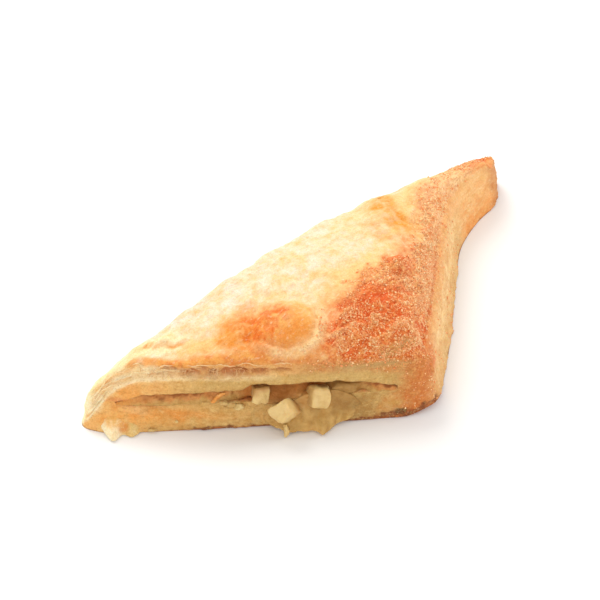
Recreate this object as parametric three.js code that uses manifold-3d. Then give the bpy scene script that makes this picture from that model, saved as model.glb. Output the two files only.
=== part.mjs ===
// A turnover: one square sheet of puff pastry, folded corner to corner over a diced fruit filling and baked.
// Millimetres, +Z up. It rests on its flat base. X runs along the near cut edge, from the left tip to the
// square corner, +Y goes back to the fold, and the origin is under the middle of the whole.
import * as THREE from "three";
import { mergeVertices } from "three/addons/utils/BufferGeometryUtils.js";
import Module from "manifold-3d";

const wasm = await Module();
wasm.setup();

const { smoothstep, clamp, lerp } = THREE.MathUtils;

// ---- Driving dimensions ----

const NEAR_EDGE = 128; // left tip to the square corner
const FOLD_BACK = 130.5; // how far back the far tip lies
const FAR_TIP_REACH = 38; // how far the far tip stands out past the square corner
const EDGE_HEIGHT = 28; // the near cut face, base to rim
const CREST_RISE = 23; // the puffed crown, above the height of the tips
const TIP_HEIGHT = 15;
const SHEET = 12.2; // the lower sheet where it is cut
const CLEARANCE = 0.35; // between two touching pieces

const ORIGIN = new THREE.Vector2(82.9, 60.5); // the middle of the whole, from the left tip's corner

// How finely the faceted solids are cut.
const AROUND = 136;
const BASE_RINGS = 2;
const CROWN_RINGS = 15;

// ---- The outline that the baked sheet stands on ----

// A short list of the turns that the outline takes, from the left tip along the cut edges and back by the fold.
const turns = [
  [0.3, 8],
  [5, 1.8],
  [20, 0],
  [65, -0.6],
  [104, -0.4],
  [119, 0.6],
  [NEAR_EDGE - 0.8, 5.5],
  [NEAR_EDGE + 2.8, 18],
  [NEAR_EDGE + 8.5, 42],
  [NEAR_EDGE + 14, 72],
  [NEAR_EDGE + 18, 90],
  [NEAR_EDGE + 25.5, 104],
  [NEAR_EDGE + 33.5, 114],
  [NEAR_EDGE + FAR_TIP_REACH - 0.5, FOLD_BACK - 7.5],
  [NEAR_EDGE + FAR_TIP_REACH - 3.5, FOLD_BACK],
  [151, 126],
  [118, 102],
  [79.5, 74.5],
  [41, 45.5],
  [13.5, 23.5],
];
const outline = new THREE.CatmullRomCurve3(
  turns.map(([x, y]) => new THREE.Vector3(x, y, 0)),
  true,
  "catmullrom",
  0.5,
).getSpacedPoints(AROUND);

const leftTip = new THREE.Vector2(0, 6);
const farTip = new THREE.Vector2(163, 128);
const foldLength = farTip.distanceTo(leftTip);
const foldDirection = farTip.clone().sub(leftTip).divideScalar(foldLength);
const crownMiddle = new THREE.Vector2(95, 42);

// A height that changes along a length, in straight steps between [place, height] pairs.
function profile(place, steps) {
  if (place <= steps[0][0]) return steps[0][1];
  for (let i = 1; i < steps.length; i++) {
    const [from, low] = steps[i - 1];
    const [to, high] = steps[i];
    if (place <= to) return lerp(low, high, (place - from) / (to - from));
  }
  return steps[steps.length - 1][1];
}

const nearHeight = [
  [0, 13],
  [8, 19],
  [20, EDGE_HEIGHT - 2.5],
  [40, EDGE_HEIGHT],
  [60, EDGE_HEIGHT],
  [100, EDGE_HEIGHT - 0.5],
  [125, EDGE_HEIGHT - 3],
  [131, EDGE_HEIGHT - 4],
];
const rightHeight = [
  [0, EDGE_HEIGHT - 3.5],
  [40, EDGE_HEIGHT - 4],
  [80, EDGE_HEIGHT - 4],
  [105, EDGE_HEIGHT - 7],
  [121, TIP_HEIGHT],
  [128, TIP_HEIGHT - 1],
];

// How far along the fold a place lies, 0 at the left tip and 1 at the far tip.
function alongFold(x, y) {
  const along =
    ((x - leftTip.x) * foldDirection.x + (y - leftTip.y) * foldDirection.y) /
    foldLength;
  return clamp(along, 0, 1);
}

// The near cut face leans back most by the left tip, where the leaves fan out.
const nearLean = [
  [0, 5],
  [9, 9],
  [22, 9],
  [34, 5],
  [42, 3.6],
  [70, 3],
  [130, 3],
];

// The wall at each step round the outline: where it stands, where its rim is, and how much of it is fold.
const wall = outline.slice(0, AROUND).map((here, i) => {
  const ahead = outline[(i + 1) % AROUND];
  const behind = outline[(i + AROUND - 1) % AROUND];
  const run = new THREE.Vector2(ahead.x - behind.x, ahead.y - behind.y);
  const out = new THREE.Vector2(run.y, -run.x).normalize();
  const foot = new THREE.Vector2(here.x, here.y);
  const near = smoothstep(-out.y, 0.2, 0.8);
  const right = smoothstep(out.x, 0.3, 0.9);
  const fold = smoothstep(out.y * foldDirection.x - out.x * foldDirection.y, 0.1, 0.7);
  const share = near + right + fold + 0.003;
  const blend = (a, b, c) => (near * a + right * b + fold * c) / share;
  const foldHeight =
    TIP_HEIGHT - 2 + TIP_HEIGHT * Math.sin(Math.PI * alongFold(foot.x, foot.y)) ** 0.8;
  const height = blend(profile(foot.x, nearHeight), profile(foot.y, rightHeight), foldHeight);
  const toTip = Math.min(foot.distanceTo(leftTip), foot.distanceTo(farTip));
  const tip = Math.min(1, toTip / 30);
  const lean = blend(profile(foot.x, nearLean), 5.6 * (0.4 + 0.6 * tip), 6 * (0.4 + 0.6 * tip));
  const rim = foot.clone().addScaledVector(out, -lean);
  const shoulder = blend(15, 15, 10);
  // The square corner curls up a little off the tray.
  const lift = 2.4 * (1 - smoothstep(foot.distanceTo(new THREE.Vector2(129, 3)), 3, 16));
  return { foot, rim, out, height, near, fold, tip, shoulder, lift };
});

// ---- The crown: puffed up, with blisters, folds and a dip ----

// Each swell: where its middle is, half its length and width, its turn in degrees, and how far it rises.
const swells = [
  { x: 73.3, y: 16.3, long: 12.5, wide: 10.5, turn: 4, rise: 3.4 },
  { x: 56, y: 15, long: 6.5, wide: 6.5, turn: 15, rise: 1.4 },
  { x: 104, y: 26, long: 14, wide: 9, turn: 35, rise: 1.8 },
  { x: 117.2, y: 43.6, long: 5.5, wide: 5.5, turn: 0, rise: 1.8 },
  { x: 113, y: 72, long: 13, wide: 7, turn: 60, rise: 2.4 },
  { x: 139, y: 93, long: 10, wide: 7, turn: 50, rise: 1.2 },
  { x: 29, y: 17.5, long: 7, wide: 4, turn: 20, rise: 1.6 },
  { x: 97, y: 9, long: 9, wide: 5, turn: 10, rise: 0.8 },
];

function swellHeight(x, y) {
  let sum = 0;
  for (const swell of swells) {
    const angle = THREE.MathUtils.degToRad(swell.turn);
    const dx = x - swell.x;
    const dy = y - swell.y;
    const a = (dx * Math.cos(angle) + dy * Math.sin(angle)) / swell.long;
    const b = (dy * Math.cos(angle) - dx * Math.sin(angle)) / swell.wide;
    sum += swell.rise * (1 - smoothstep(Math.hypot(a, b), 0.2, 1.2));
  }
  return sum;
}

// The rim again in short steps, each with its height and how wide a shoulder rises from it.
const RIM_PARTS = 4;
const rimSteps = wall.flatMap((here, i) => {
  const next = wall[(i + 1) % AROUND];
  const step = here.rim.distanceTo(next.rim) / RIM_PARTS;
  return Array.from({ length: RIM_PARTS }, (_, k) => {
    const part = k / RIM_PARTS;
    return {
      at: here.rim.clone().lerp(next.rim, part),
      height: lerp(here.height, next.height, part),
      pull: step * lerp(here.shoulder, next.shoulder, part) ** 3,
    };
  });
});

// The crown rises from all of the rim at once in one soft shoulder, up to a crest that follows the fold.
function crownHeight(x, y) {
  let pull = 0;
  let heights = 0;
  let weights = 0;
  for (const { at, height, pull: strength } of rimSteps) {
    const close = 1 / ((x - at.x) ** 2 + (y - at.y) ** 2 + 0.04) ** 2;
    pull += strength * close;
    heights += height * close;
    weights += close;
  }
  const inside = ((pull * 2) / Math.PI) ** (-1 / 3); // the distance from the rim, in shoulders
  const low = heights / weights;
  const crest = TIP_HEIGHT + CREST_RISE * Math.sin(Math.PI * alongFold(x, y)) ** 0.75;
  return low + (crest - low) * (1 - Math.exp(-1.35 * inside));
}

// The leaves of the cut faces, from the base (0) to the rim (1): how far each line stands out.
const leaves = [
  [0, 0],
  [0.05, 0.5],
  [0.22, 0.9],
  [0.42, 0.5],
  [0.6, 0.7],
  [0.74, 0.9],
  [0.79, -0.6],
  [0.85, 0.5],
  [0.89, -0.7],
  [0.94, 0.3],
  [1, 0],
];
const WALL_RINGS = leaves.length - 1;
const RINGS = BASE_RINGS + WALL_RINGS + CROWN_RINGS;

// The baked skin at one place: around is the step round the outline, level the ring from base to crown.
function skin(around, level) {
  const { foot, rim, out, height, near, fold, tip, lift } = wall[around % AROUND];
  const place = new THREE.Vector3();
  if (level <= BASE_RINGS) {
    const q = [0, 0.9, 1][level];
    place.x = lerp(crownMiddle.x, foot.x, q);
    place.y = lerp(crownMiddle.y, foot.y, q);
    place.z = level === BASE_RINGS ? lift : 0;
    return place;
  }
  const step = Math.min(level - BASE_RINGS, WALL_RINGS);
  const [up, stand] = leaves[step];
  const bulge = fold * tip * 3.5 * Math.sin(Math.PI * Math.min(1, up * 1.05)) ** 0.8;
  // The leaves gape in the left part of the near face; elsewhere they have baked together.
  const gaping = near * smoothstep(foot.x, 4, 14) * (1 - smoothstep(foot.x, 76, 92));
  const push = bulge + stand * lerp(0.35 * (1 - fold), 1, gaping);
  place.x = lerp(foot.x, rim.x, up) + out.x * push;
  place.y = lerp(foot.y, rim.y, up) + out.y * push;
  place.z = lerp(lift, height, up);
  if (level <= BASE_RINGS + WALL_RINGS) return place;
  const inward = ((level - BASE_RINGS - WALL_RINGS) / CROWN_RINGS) ** 1.15;
  place.x = lerp(rim.x, crownMiddle.x, inward);
  place.y = lerp(rim.y, crownMiddle.y, inward);
  place.z = crownHeight(place.x, place.y) + swellHeight(place.x, place.y) * smoothstep(inward, 0, 0.2);
  return place;
}

// ---- From three.js geometry to solids and back ----

function solidOf(geometry) {
  const bare = geometry.clone();
  bare.deleteAttribute("normal");
  bare.deleteAttribute("uv");
  const merged = mergeVertices(bare, 1e-4);
  const mesh = new wasm.Mesh({
    numProp: 3,
    vertProperties: merged.attributes.position.array,
    triVerts: new Uint32Array(merged.index.array),
  });
  return new wasm.Manifold(mesh);
}

function geometryOf(solid) {
  const { vertProperties, triVerts } = solid.getMesh();
  const geometry = new THREE.BufferGeometry();
  geometry.setAttribute(
    "position",
    new THREE.BufferAttribute(new Float32Array(vertProperties), 3),
  );
  geometry.setIndex(new THREE.BufferAttribute(new Uint32Array(triVerts), 1));
  geometry.translate(-ORIGIN.x, -ORIGIN.y, 0);
  geometry.computeVertexNormals();
  return geometry;
}

// Only the largest body of a solid, without the scraps that a cut can leave.
function largestBody(solid) {
  const bodies = solid.decompose();
  return bodies.reduce((a, b) => (b.volume() > a.volume() ? b : a));
}

// Moves every point of a geometry to where place(point, u, v) says.
function shaped(geometry, place) {
  const { position, uv } = geometry.attributes;
  const point = new THREE.Vector3();
  for (let i = 0; i < position.count; i++) {
    point.fromBufferAttribute(position, i);
    const moved = place(point, uv.getX(i), uv.getY(i));
    position.setXYZ(i, moved.x, moved.y, moved.z);
  }
  return geometry;
}

// ---- The folded sheet ----

function bakedSheet() {
  const ball = new THREE.SphereGeometry(1, AROUND, RINGS);
  const sheet = shaped(ball, (point, u, v) =>
    skin(Math.round(clamp(u, 0, 1) * AROUND), Math.round(v * RINGS)),
  );
  return solidOf(sheet);
}

// A ragged scrap of the lower sheet hangs in front of the left tip.
function tipScrap() {
  const ball = new THREE.SphereGeometry(1, 14, 8);
  return solidOf(
    shaped(ball, (p) => {
      const ragged = 1 + 0.16 * Math.sin(3 * Math.atan2(p.z, p.x) + 1);
      return new THREE.Vector3(
        12.6 + 6.8 * p.x * ragged,
        -0.8 - 4.6 * p.z * ragged,
        Math.max(0, 2.4 + 3.4 * p.y),
      );
    }),
  );
}

// ---- The pocket between the two halves of the sheet ----

const MOUTH_LEFT = 12;
const MOUTH_RIGHT = 112;
const POCKET_FRONT = -12; // past the near face, so that the cut is open there

// The open mouth: the height of its lower and its upper lip.
const lowerLip = [
  [MOUTH_LEFT, SHEET - 2.6],
  [22, SHEET - 2],
  [40, SHEET - 0.6],
  [54, SHEET - 0.4],
  [66, SHEET + 0.4],
  [92, SHEET],
  [103, SHEET],
  [MOUTH_RIGHT, SHEET + 0.6],
];
const upperLip = [
  [MOUTH_LEFT, SHEET - 1.8],
  [22, SHEET + 0.4],
  [40, SHEET + 2.8],
  [55, SHEET + 3.6],
  [61, SHEET + 5.4],
  [90, SHEET + 5.6],
  [103, SHEET + 3.4],
  [MOUTH_RIGHT, SHEET + 1.5],
];

// How far back the pocket goes, so that the fold keeps its thickness.
const pocketDepth = (x) => 0.76 * x + 1;

// The pocket's floor and ceiling at x, with deep from 0 at the mouth to 1 at the back.
function pocketHeights(x, deep) {
  const across = clamp((x - MOUTH_LEFT) / (MOUTH_RIGHT - MOUTH_LEFT), 0, 1);
  const belly = 11.5 * Math.sin(Math.PI * across) * Math.sin(Math.PI * deep) ** 0.7;
  const low = profile(x, lowerLip);
  const high = profile(x, upperLip);
  const gape = (high - low + belly) * (1 - 0.9 * deep ** 4);
  const middle = (low + high) / 2;
  return { floor: middle - gape * (0.5 - 0.15 * deep), ceiling: middle + gape * (0.5 + 0.15 * deep) };
}

// A slab between a floor and a ceiling, from a box cut into a grid: heights(x, deep) gives both.
function slab({ left, right, front, back, stepsAlong, stepsDeep, heights }) {
  const box = new THREE.BoxGeometry(1, 1, 1, stepsAlong, stepsDeep, 1);
  return solidOf(
    shaped(box, (p) => {
      const x = lerp(left, right, p.x + 0.5);
      const y = lerp(front(x), back(x), p.y + 0.5);
      const { floor, ceiling } = heights(x, clamp(y / pocketDepth(x), 0, 1));
      return new THREE.Vector3(x, y, p.z > 0 ? ceiling : floor);
    }),
  );
}

const pocket = slab({
  left: MOUTH_LEFT,
  right: MOUTH_RIGHT,
  front: () => POCKET_FRONT,
  back: pocketDepth,
  stepsAlong: 25,
  stepsDeep: 9,
  heights: pocketHeights,
});

// ---- Diced fruit at the mouth ----

// Each die: its middle, its sides, and its turns in degrees.
const diceAtMouth = [
  { name: "fruit_dice_left", at: [63.3, 1.8, 13.2], sides: [5.8, 5.6, 6], turns: [-8, 4, 6] },
  { name: "fruit_dice_right", at: [84.3, 0.2, 12], sides: [6, 7.4, 7], turns: [-22, 8, 14] },
  { name: "fruit_dice_front", at: [71.5, -4.2, 9.8], sides: [9.2, 6.9, 6], turns: [-58, -28, 57] },
];

// A knife-cut die with soft corners: a box cut into a grid, drawn in towards a rounder form.
function dieSolid({ at, sides, turns: [tx, ty, tz] }, grow) {
  const box = new THREE.BoxGeometry(1, 1, 1, 3, 3, 3);
  const soft = shaped(box, (p) => {
    const round = p.clone().normalize().multiplyScalar(0.62);
    const size = new THREE.Vector3(...sides).addScalar(2 * grow);
    return p.clone().lerp(round, 0.2 * smoothstep(p.length(), 0.5, 0.87)).multiply(size);
  });
  const euler = new THREE.Euler(...[tx, ty, tz].map(THREE.MathUtils.degToRad));
  soft.applyMatrix4(new THREE.Matrix4().makeRotationFromEuler(euler).setPosition(...at));
  return solidOf(soft);
}

// ---- The filling ----

// How far its top lies below the ceiling just inside the mouth: it has sunk between the dice.
const fillingSunk = [
  [58, 3],
  [63, 5],
  [86, 5],
  [91, 1.4],
  [104, 1.2],
];

// The filling keeps clear of the pocket and lies lower near the mouth, where it has sunk back or run out.
function fillingHeights(x, deep) {
  const { floor, ceiling } = pocketHeights(x, deep);
  const sunk = profile(x, fillingSunk) * (1 - smoothstep(deep, 0.12, 0.34));
  const bottom = floor + CLEARANCE;
  return { floor: bottom, ceiling: Math.max(bottom + 0.5, ceiling - CLEARANCE - sunk) };
}

const RUN_LEFT = 63;
const RUN_RIGHT = 99;

// Where the filling's front lies: out past the mouth where it has run, else a little inside.
function fillingFront(x) {
  const out = smoothstep(x, RUN_LEFT - 4, RUN_LEFT + 3) * (1 - smoothstep(x, RUN_RIGHT - 4, RUN_RIGHT + 2));
  return lerp(4.5, 0.6, out);
}

const fillingInside = slab({
  left: MOUTH_LEFT + 7,
  right: MOUTH_RIGHT - 6,
  front: fillingFront,
  back: (x) => 0.9 * pocketDepth(x),
  stepsAlong: 22,
  stepsDeep: 10,
  heights: fillingHeights,
});

// What has run out over the lower sheet: a low mass down the near face, with two drips on the tray.
const drips = [
  { x: 75.2, wide: 2.6, reach: 2.4 },
  { x: 88.2, wide: 3, reach: 4 },
];
const overflowTop = [
  [66, 14],
  [85, 14.4],
  [90, 16.6],
  [98, 16.2],
];

function overflowMass() {
  const ball = new THREE.SphereGeometry(1, 30, 14);
  return solidOf(
    shaped(ball, (p) => {
      const x = 81.5 + 17.5 * p.x;
      const z = lerp(0.4, profile(x, overflowTop), 0.5 + 0.5 * p.y);
      const foot = smoothstep(-p.y, -0.3, 0.8);
      const dripping = drips.reduce(
        (sum, drip) => sum + drip.reach * Math.exp(-(((x - drip.x) / drip.wide) ** 2)),
        0,
      );
      const reach = lerp(4.8, 1.6, smoothstep(z, 3, 13)) + dripping * foot;
      const y = p.z > 0 ? -reach * p.z ** 0.6 : 5 * (-p.z) ** 0.6;
      return new THREE.Vector3(x, y, z);
    }),
  );
}

// ---- Cutting and joining ----

const diceAndGap = diceAtMouth
  .map((die) => dieSolid(die, CLEARANCE))
  .reduce((sum, die) => sum.add(die));

const folded = largestBody(bakedSheet().add(tipScrap()).subtract(pocket));
const pastry = largestBody(folded.subtract(diceAndGap));

// The folded sheet with a clearance round it, for what lies against it.
const nudges = [
  [0, -1, 0],
  [1, -1, 0],
  [-1, -1, 0],
  [0, -1, 1],
  [0, -1, -1],
].map((nudge) => nudge.map((n) => n * CLEARANCE));
const foldedAndGap = nudges.reduce((sum, nudge) => sum.add(folded.translate(nudge)), folded);

const overflow = overflowMass().subtract(foldedAndGap);
const filling = largestBody(fillingInside.add(overflow).subtract(diceAndGap));

// ---- The part ----

const finishes = {
  pastry: new THREE.MeshStandardMaterial({ color: 0xe2a45c, roughness: 0.75, metalness: 0 }),
  filling: new THREE.MeshStandardMaterial({ color: 0xc9a95e, roughness: 0.35, metalness: 0 }),
  fruit: new THREE.MeshStandardMaterial({ color: 0xe6cf8b, roughness: 0.45, metalness: 0 }),
};

function piece(name, solid, finish) {
  const mesh = new THREE.Mesh(geometryOf(solid), finish);
  mesh.name = name;
  return mesh;
}

const turnover = new THREE.Group();
turnover.add(piece("pastry_sheet", pastry, finishes.pastry));
turnover.add(piece("fruit_filling", filling, finishes.filling));
for (const die of diceAtMouth) {
  turnover.add(piece(die.name, dieSolid(die, 0), finishes.fruit));
}

export default turnover;
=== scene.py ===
"""A turnover: one square of puff pastry, folded corner to corner over diced fruit, sugared and baked."""

import math

import bmesh
import bpy
import numpy as np
from mathutils import Euler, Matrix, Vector


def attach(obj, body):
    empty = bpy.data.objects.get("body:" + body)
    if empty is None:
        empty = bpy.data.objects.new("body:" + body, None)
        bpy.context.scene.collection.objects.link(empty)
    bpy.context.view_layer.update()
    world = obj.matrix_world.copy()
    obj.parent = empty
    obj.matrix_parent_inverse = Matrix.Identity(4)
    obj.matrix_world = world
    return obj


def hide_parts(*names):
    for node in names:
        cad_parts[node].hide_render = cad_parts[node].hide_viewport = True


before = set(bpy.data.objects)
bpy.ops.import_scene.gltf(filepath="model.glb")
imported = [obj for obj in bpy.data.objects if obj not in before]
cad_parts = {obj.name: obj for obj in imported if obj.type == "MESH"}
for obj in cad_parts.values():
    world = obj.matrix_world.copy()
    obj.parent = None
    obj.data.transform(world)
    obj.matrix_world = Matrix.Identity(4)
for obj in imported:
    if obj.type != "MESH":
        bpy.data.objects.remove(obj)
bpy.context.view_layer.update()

MM = 0.001
# The shapes below are worked out in mm from the left tip's corner.
PLAN_MIDDLE = np.array([82.9, 60.5, 0.0])

# ---- Named sizes, in mm ----

NEAR_EDGE = 128.0
FOLD_BACK = 130.5
FAR_TIP_REACH = 38.0
EDGE_HEIGHT = 28.0
CREST_RISE = 23.0
TIP_HEIGHT = 15.0
SHEET = 12.2
RIGHT_LEAN = 5.6
FOLD_LEAN = 6.0
FOLD_BULGE = 3.5
CORNER_LIFT = 2.4
TIP_LENGTH = 30
CROWN_SHOULDER = 15.0
FOLD_SHOULDER = 10.0

LEFT_TIP = np.array([0.0, 6.0])
FAR_TIP = np.array([163.0, 128.0])
SQUARE_CORNER = np.array([129.0, 3.0])
CROWN_MIDDLE = np.array([78.0, 50.0])
FOLD_LENGTH = np.linalg.norm(FAR_TIP - LEFT_TIP)
FOLD_DIRECTION = (FAR_TIP - LEFT_TIP) / FOLD_LENGTH

OUTLINE_TURNS = [
    (0.3, 8), (5, 1.8), (20, 0), (65, -0.6), (104, -0.4), (119, 0.6), (NEAR_EDGE - 0.8, 5.5),
    (NEAR_EDGE + 2.8, 18), (NEAR_EDGE + 8.5, 42), (NEAR_EDGE + 14, 72), (NEAR_EDGE + 18, 90),
    (NEAR_EDGE + 25.5, 104), (NEAR_EDGE + 33.5, 114),
    (NEAR_EDGE + FAR_TIP_REACH - 2, FOLD_BACK - 8), (NEAR_EDGE + FAR_TIP_REACH - 3.5, FOLD_BACK),
    (151, 126), (118, 102), (79.5, 74.5), (41, 45.5), (13.5, 23.5),
]
NEAR_HEIGHT = [
    (0, 13), (8, 19), (20, EDGE_HEIGHT - 2.5), (40, EDGE_HEIGHT), (60, EDGE_HEIGHT),
    (100, EDGE_HEIGHT - 0.5), (125, EDGE_HEIGHT - 3), (131, EDGE_HEIGHT - 4),
]
RIGHT_HEIGHT = [
    (0, EDGE_HEIGHT - 3.5), (40, EDGE_HEIGHT - 4), (80, EDGE_HEIGHT - 4), (105, EDGE_HEIGHT - 7),
    (121, TIP_HEIGHT), (128, TIP_HEIGHT - 1),
]
NEAR_LEAN = [(0, 5), (9, 9), (22, 9), (34, 5), (42, 3.6), (70, 3), (130, 3)]

MOUTH_LEFT = 12.0
MOUTH_RIGHT = 112.0
LOWER_LIP = [
    (MOUTH_LEFT, SHEET - 2.6), (22, SHEET - 2), (40, SHEET - 0.6), (54, SHEET - 0.4),
    (61, SHEET - 0.6), (65.5, SHEET - 2.2), (71, SHEET - 2.4), (77, SHEET - 0.2), (92, SHEET),
    (103, SHEET), (MOUTH_RIGHT, SHEET + 0.6),
]
UPPER_LIP = [
    (MOUTH_LEFT, SHEET - 1.8), (22, SHEET + 0.4), (40, SHEET + 2.8), (57, SHEET + 3.4),
    (60.5, SHEET + 5.4), (90, SHEET + 5.6), (103, SHEET + 3.4), (MOUTH_RIGHT, SHEET + 1.5),
]

# How far up the near cut face its leaves part, as shares of its height: first the thick lip, then
# a thinner one, then the skin.
THICK_LIP = [
    (0, 0.15), (2, 0.33), (3.3, 0.49), (5.2, 0.59), (8, 0.68), (12, 0.745), (24, 0.765),
    (32, 0.79), (44, 0.79), (52, 0.765), (60, 0.755), (85, 0.765), (101, 0.74), (112, 0.68),
]
THIN_LIP = [
    (0, 0.5), (3.6, 0.8), (6, 0.84), (9, 0.87), (13.4, 0.86), (20, 0.82), (25, 0.855), (31, 0.89), (60, 0.9)
]
SKIN_EDGE = [(0, 0.85), (8, 0.93), (15, 0.965), (60, 0.975), (80, 0.955), (130, 0.955)]

# ---- Small sums that every shape uses ----


def smoothstep(value, low, high):
    """0 up to low and 1 from high on, eased between."""
    share = np.clip((value - low) / (high - low), 0.0, 1.0)
    return share * share * (3.0 - 2.0 * share)


def fading(value, low, high):
    """1 up to low and 0 from high on, eased between."""
    return 1 - smoothstep(value, low, high)


def blend(low, high, share):
    return low + (high - low) * share


def profile(place, pairs):
    places, heights = zip(*pairs)
    return np.interp(place, places, heights)


def hump(value, middle, width):
    return np.exp(-(((value - middle) / width) ** 2))


def reach_out(x, y, middle, long, wide, turn):
    """How far a place is from the middle of a turned ellipse, 1 on its edge."""
    angle = math.radians(turn)
    dx = x - middle[0]
    dy = y - middle[1]
    a = (dx * math.cos(angle) + dy * math.sin(angle)) / long
    b = (dy * math.cos(angle) - dx * math.sin(angle)) / wide
    return np.hypot(a, b)


def patch(x, y, middle, long, wide, turn=0.0, edge=0.25):
    """1 inside a turned ellipse and 0 outside it, with a soft edge."""
    return fading(reach_out(x, y, middle, long, wide, turn), 1.0 - edge, 1.0 + edge)


def line_ridge(x, y, points, width):
    """1 along a line through points, falling off over width."""
    best = np.full(np.shape(x), 1e9)
    for (ax, ay), (bx, by) in zip(points, points[1:]):
        length = math.hypot(bx - ax, by - ay)
        t = np.clip(((x - ax) * (bx - ax) + (y - ay) * (by - ay)) / length**2, 0, 1)
        best = np.minimum(best, np.hypot(x - ax - t * (bx - ax), y - ay - t * (by - ay)))
    return np.exp(-((best / width) ** 2))


def soft_noise(x, y, size, seed):
    """Smooth noise from 0 to 1, with swells about size across."""
    table = np.random.default_rng(seed).random((97, 97))
    u = np.asarray(x) / size + 40.3
    v = np.asarray(y) / size + 40.7
    i = np.floor(u).astype(int)
    j = np.floor(v).astype(int)
    s = u - i
    t = v - j
    s = s * s * (3 - 2 * s)
    t = t * t * (3 - 2 * t)
    i %= 96
    j %= 96
    low = table[i, j] * (1 - s) + table[i + 1, j] * s
    high = table[i, j + 1] * (1 - s) + table[i + 1, j + 1] * s
    return low * (1 - t) + high * t


def rough_noise(x, y, size, seed, octaves=3):
    """Noise from -1 to 1 with finer swells laid over coarse ones."""
    total = 0.0
    weight = 0.0
    for k in range(octaves):
        share = 0.6**k
        total = total + share * (2 * soft_noise(x, y, size / 2**k, seed + k) - 1)
        weight += share
    return 1.5 * total / weight


def wrinkles(x, y, size, seed):
    """Sharp-topped ridges from 0 to 1, as in a dried crust."""
    bent_x = x + 0.5 * size * rough_noise(x, y, size, seed + 7, 2)
    bent_y = y + 0.5 * size * rough_noise(x, y, size, seed + 9, 2)
    coarse = 1 - np.abs(2 * soft_noise(bent_x, bent_y, size, seed) - 1)
    fine = 1 - np.abs(2 * soft_noise(bent_x, bent_y, size / 2.1, seed + 1) - 1)
    return 0.65 * coarse**2 + 0.35 * fine**2


def cell_walls(x, y, size_x, size_y, seed):
    """How far a place is from the wall between two cells of a loose honeycomb, 0 on the wall."""
    offset = np.random.default_rng(seed).random((61, 61, 2))
    u = np.asarray(x) / size_x + 20.0
    v = np.asarray(y) / size_y + 20.0
    i = np.floor(u).astype(int)
    j = np.floor(v).astype(int)
    first = np.full(u.shape, 9.0)
    second = np.full(u.shape, 9.0)
    for di in (-1, 0, 1):
        for dj in (-1, 0, 1):
            spot = offset[(i + di) % 61, (j + dj) % 61]
            far = np.hypot(i + di + spot[..., 0] - u, j + dj + spot[..., 1] - v)
            second = np.minimum(second, np.maximum(first, far))
            first = np.minimum(first, far)
    return second - first


# ---- Colours ----


def srgb(red, green, blue):
    """A screen colour, 0 to 255, as light."""
    shares = np.array([red, green, blue]) / 255
    return np.where(shares <= 0.04045, shares / 12.92, ((shares + 0.055) / 1.055) ** 2.4)


CREAM = srgb(246, 232, 214)
PALE_GOLD = srgb(245, 212, 156)
GOLD = srgb(246, 186, 100)
AMBER = srgb(240, 146, 56)
ORANGE_BROWN = srgb(230, 100, 34)
DEEP_BROWN = srgb(214, 84, 26)
SUGAR_TAN = srgb(238, 164, 98)
KHAKI = srgb(216, 172, 108)
DOUGH = srgb(240, 196, 126)
# The cream of the leaves' lips, with painted highlight on their ridges.
LIP_CREAM_AND_HIGHLIGHT = srgb(250, 222, 170)
SLIT_BROWN = srgb(226, 158, 98)
CAVE_BROWN = srgb(222, 150, 80)
BASE_BROWN = srgb(156, 92, 48)


def mixed(first, second, share):
    share = np.clip(np.asarray(share), 0, 1)[..., None]
    return first * (1 - share) + second * share


def laid(colour, *coats):
    """A colour under coats of others, each with the share of it that covers."""
    for coat, share in coats:
        colour = mixed(colour, coat, share)
    return colour


def spotted(colour, hue, spots, at, shade, edge=0.55):
    """Spots of one hue: each one's middle, half its length and width, its turn and its share."""
    for *spot, share in spots:
        colour = mixed(colour, hue, share * patch(*at, *spot, edge) * shade)
    return colour


# ---- The folded sheet ----

FINE = 680  # steps round the outline in which the wall is worked out
COLUMNS = 620
BASE_ROWS = np.array([0.0, 0.6, 0.93, 1.0])
WALL_ROWS = 56
CROWN_ROWS = 86


def trace_outline():
    """The outline of the base in even steps, counter-clockwise seen from above."""
    turns = np.array(OUTLINE_TURNS, float)
    share = np.linspace(0, 1, 60, endpoint=False)[:, None]
    legs = []
    for k in range(len(turns)):
        a, b, c, d = (turns[(k + n) % len(turns)] for n in (-1, 0, 1, 2))
        bend = (2 * a - 5 * b + 4 * c - d) * share**2 + (3 * b - 3 * c + d - a) * share**3
        legs.append(0.5 * (2 * b + (c - a) * share + bend))
    path = np.vstack([*legs, legs[0][:1]])
    length = np.concatenate([[0], np.cumsum(np.linalg.norm(np.diff(path, axis=0), axis=1))])
    at = np.linspace(0, length[-1], FINE, endpoint=False)
    return np.column_stack([np.interp(at, length, path[:, n]) for n in (0, 1)])


def along_fold(x, y):
    along = (x - LEFT_TIP[0]) * FOLD_DIRECTION[0] + (y - LEFT_TIP[1]) * FOLD_DIRECTION[1]
    return np.clip(along / FOLD_LENGTH, 0.0, 1.0)


def unlooped(rim):
    """The rim without the loops that it would make in the tips, seen from the middle of the crown."""
    start = FINE // 6
    spoke = np.roll(rim - CROWN_MIDDLE, -start, axis=0)
    angle = np.unwrap(np.arctan2(spoke[:, 1], spoke[:, 0]))
    reach = np.hypot(spoke[:, 0], spoke[:, 1])
    ahead = np.maximum.accumulate(angle)
    behind = np.minimum.accumulate(angle[::-1])[::-1]
    sound = ahead - behind < 1e-9
    for _ in range(4):
        sound = sound & np.roll(sound, 1) & np.roll(sound, -1)
    steps = np.arange(FINE)
    angle = np.interp(steps, steps[sound], angle[sound])
    reach = np.interp(steps, steps[sound], reach[sound])
    turned = CROWN_MIDDLE + reach[:, None] * np.column_stack([np.cos(angle), np.sin(angle)])
    return np.roll(turned, start, axis=0)


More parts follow.
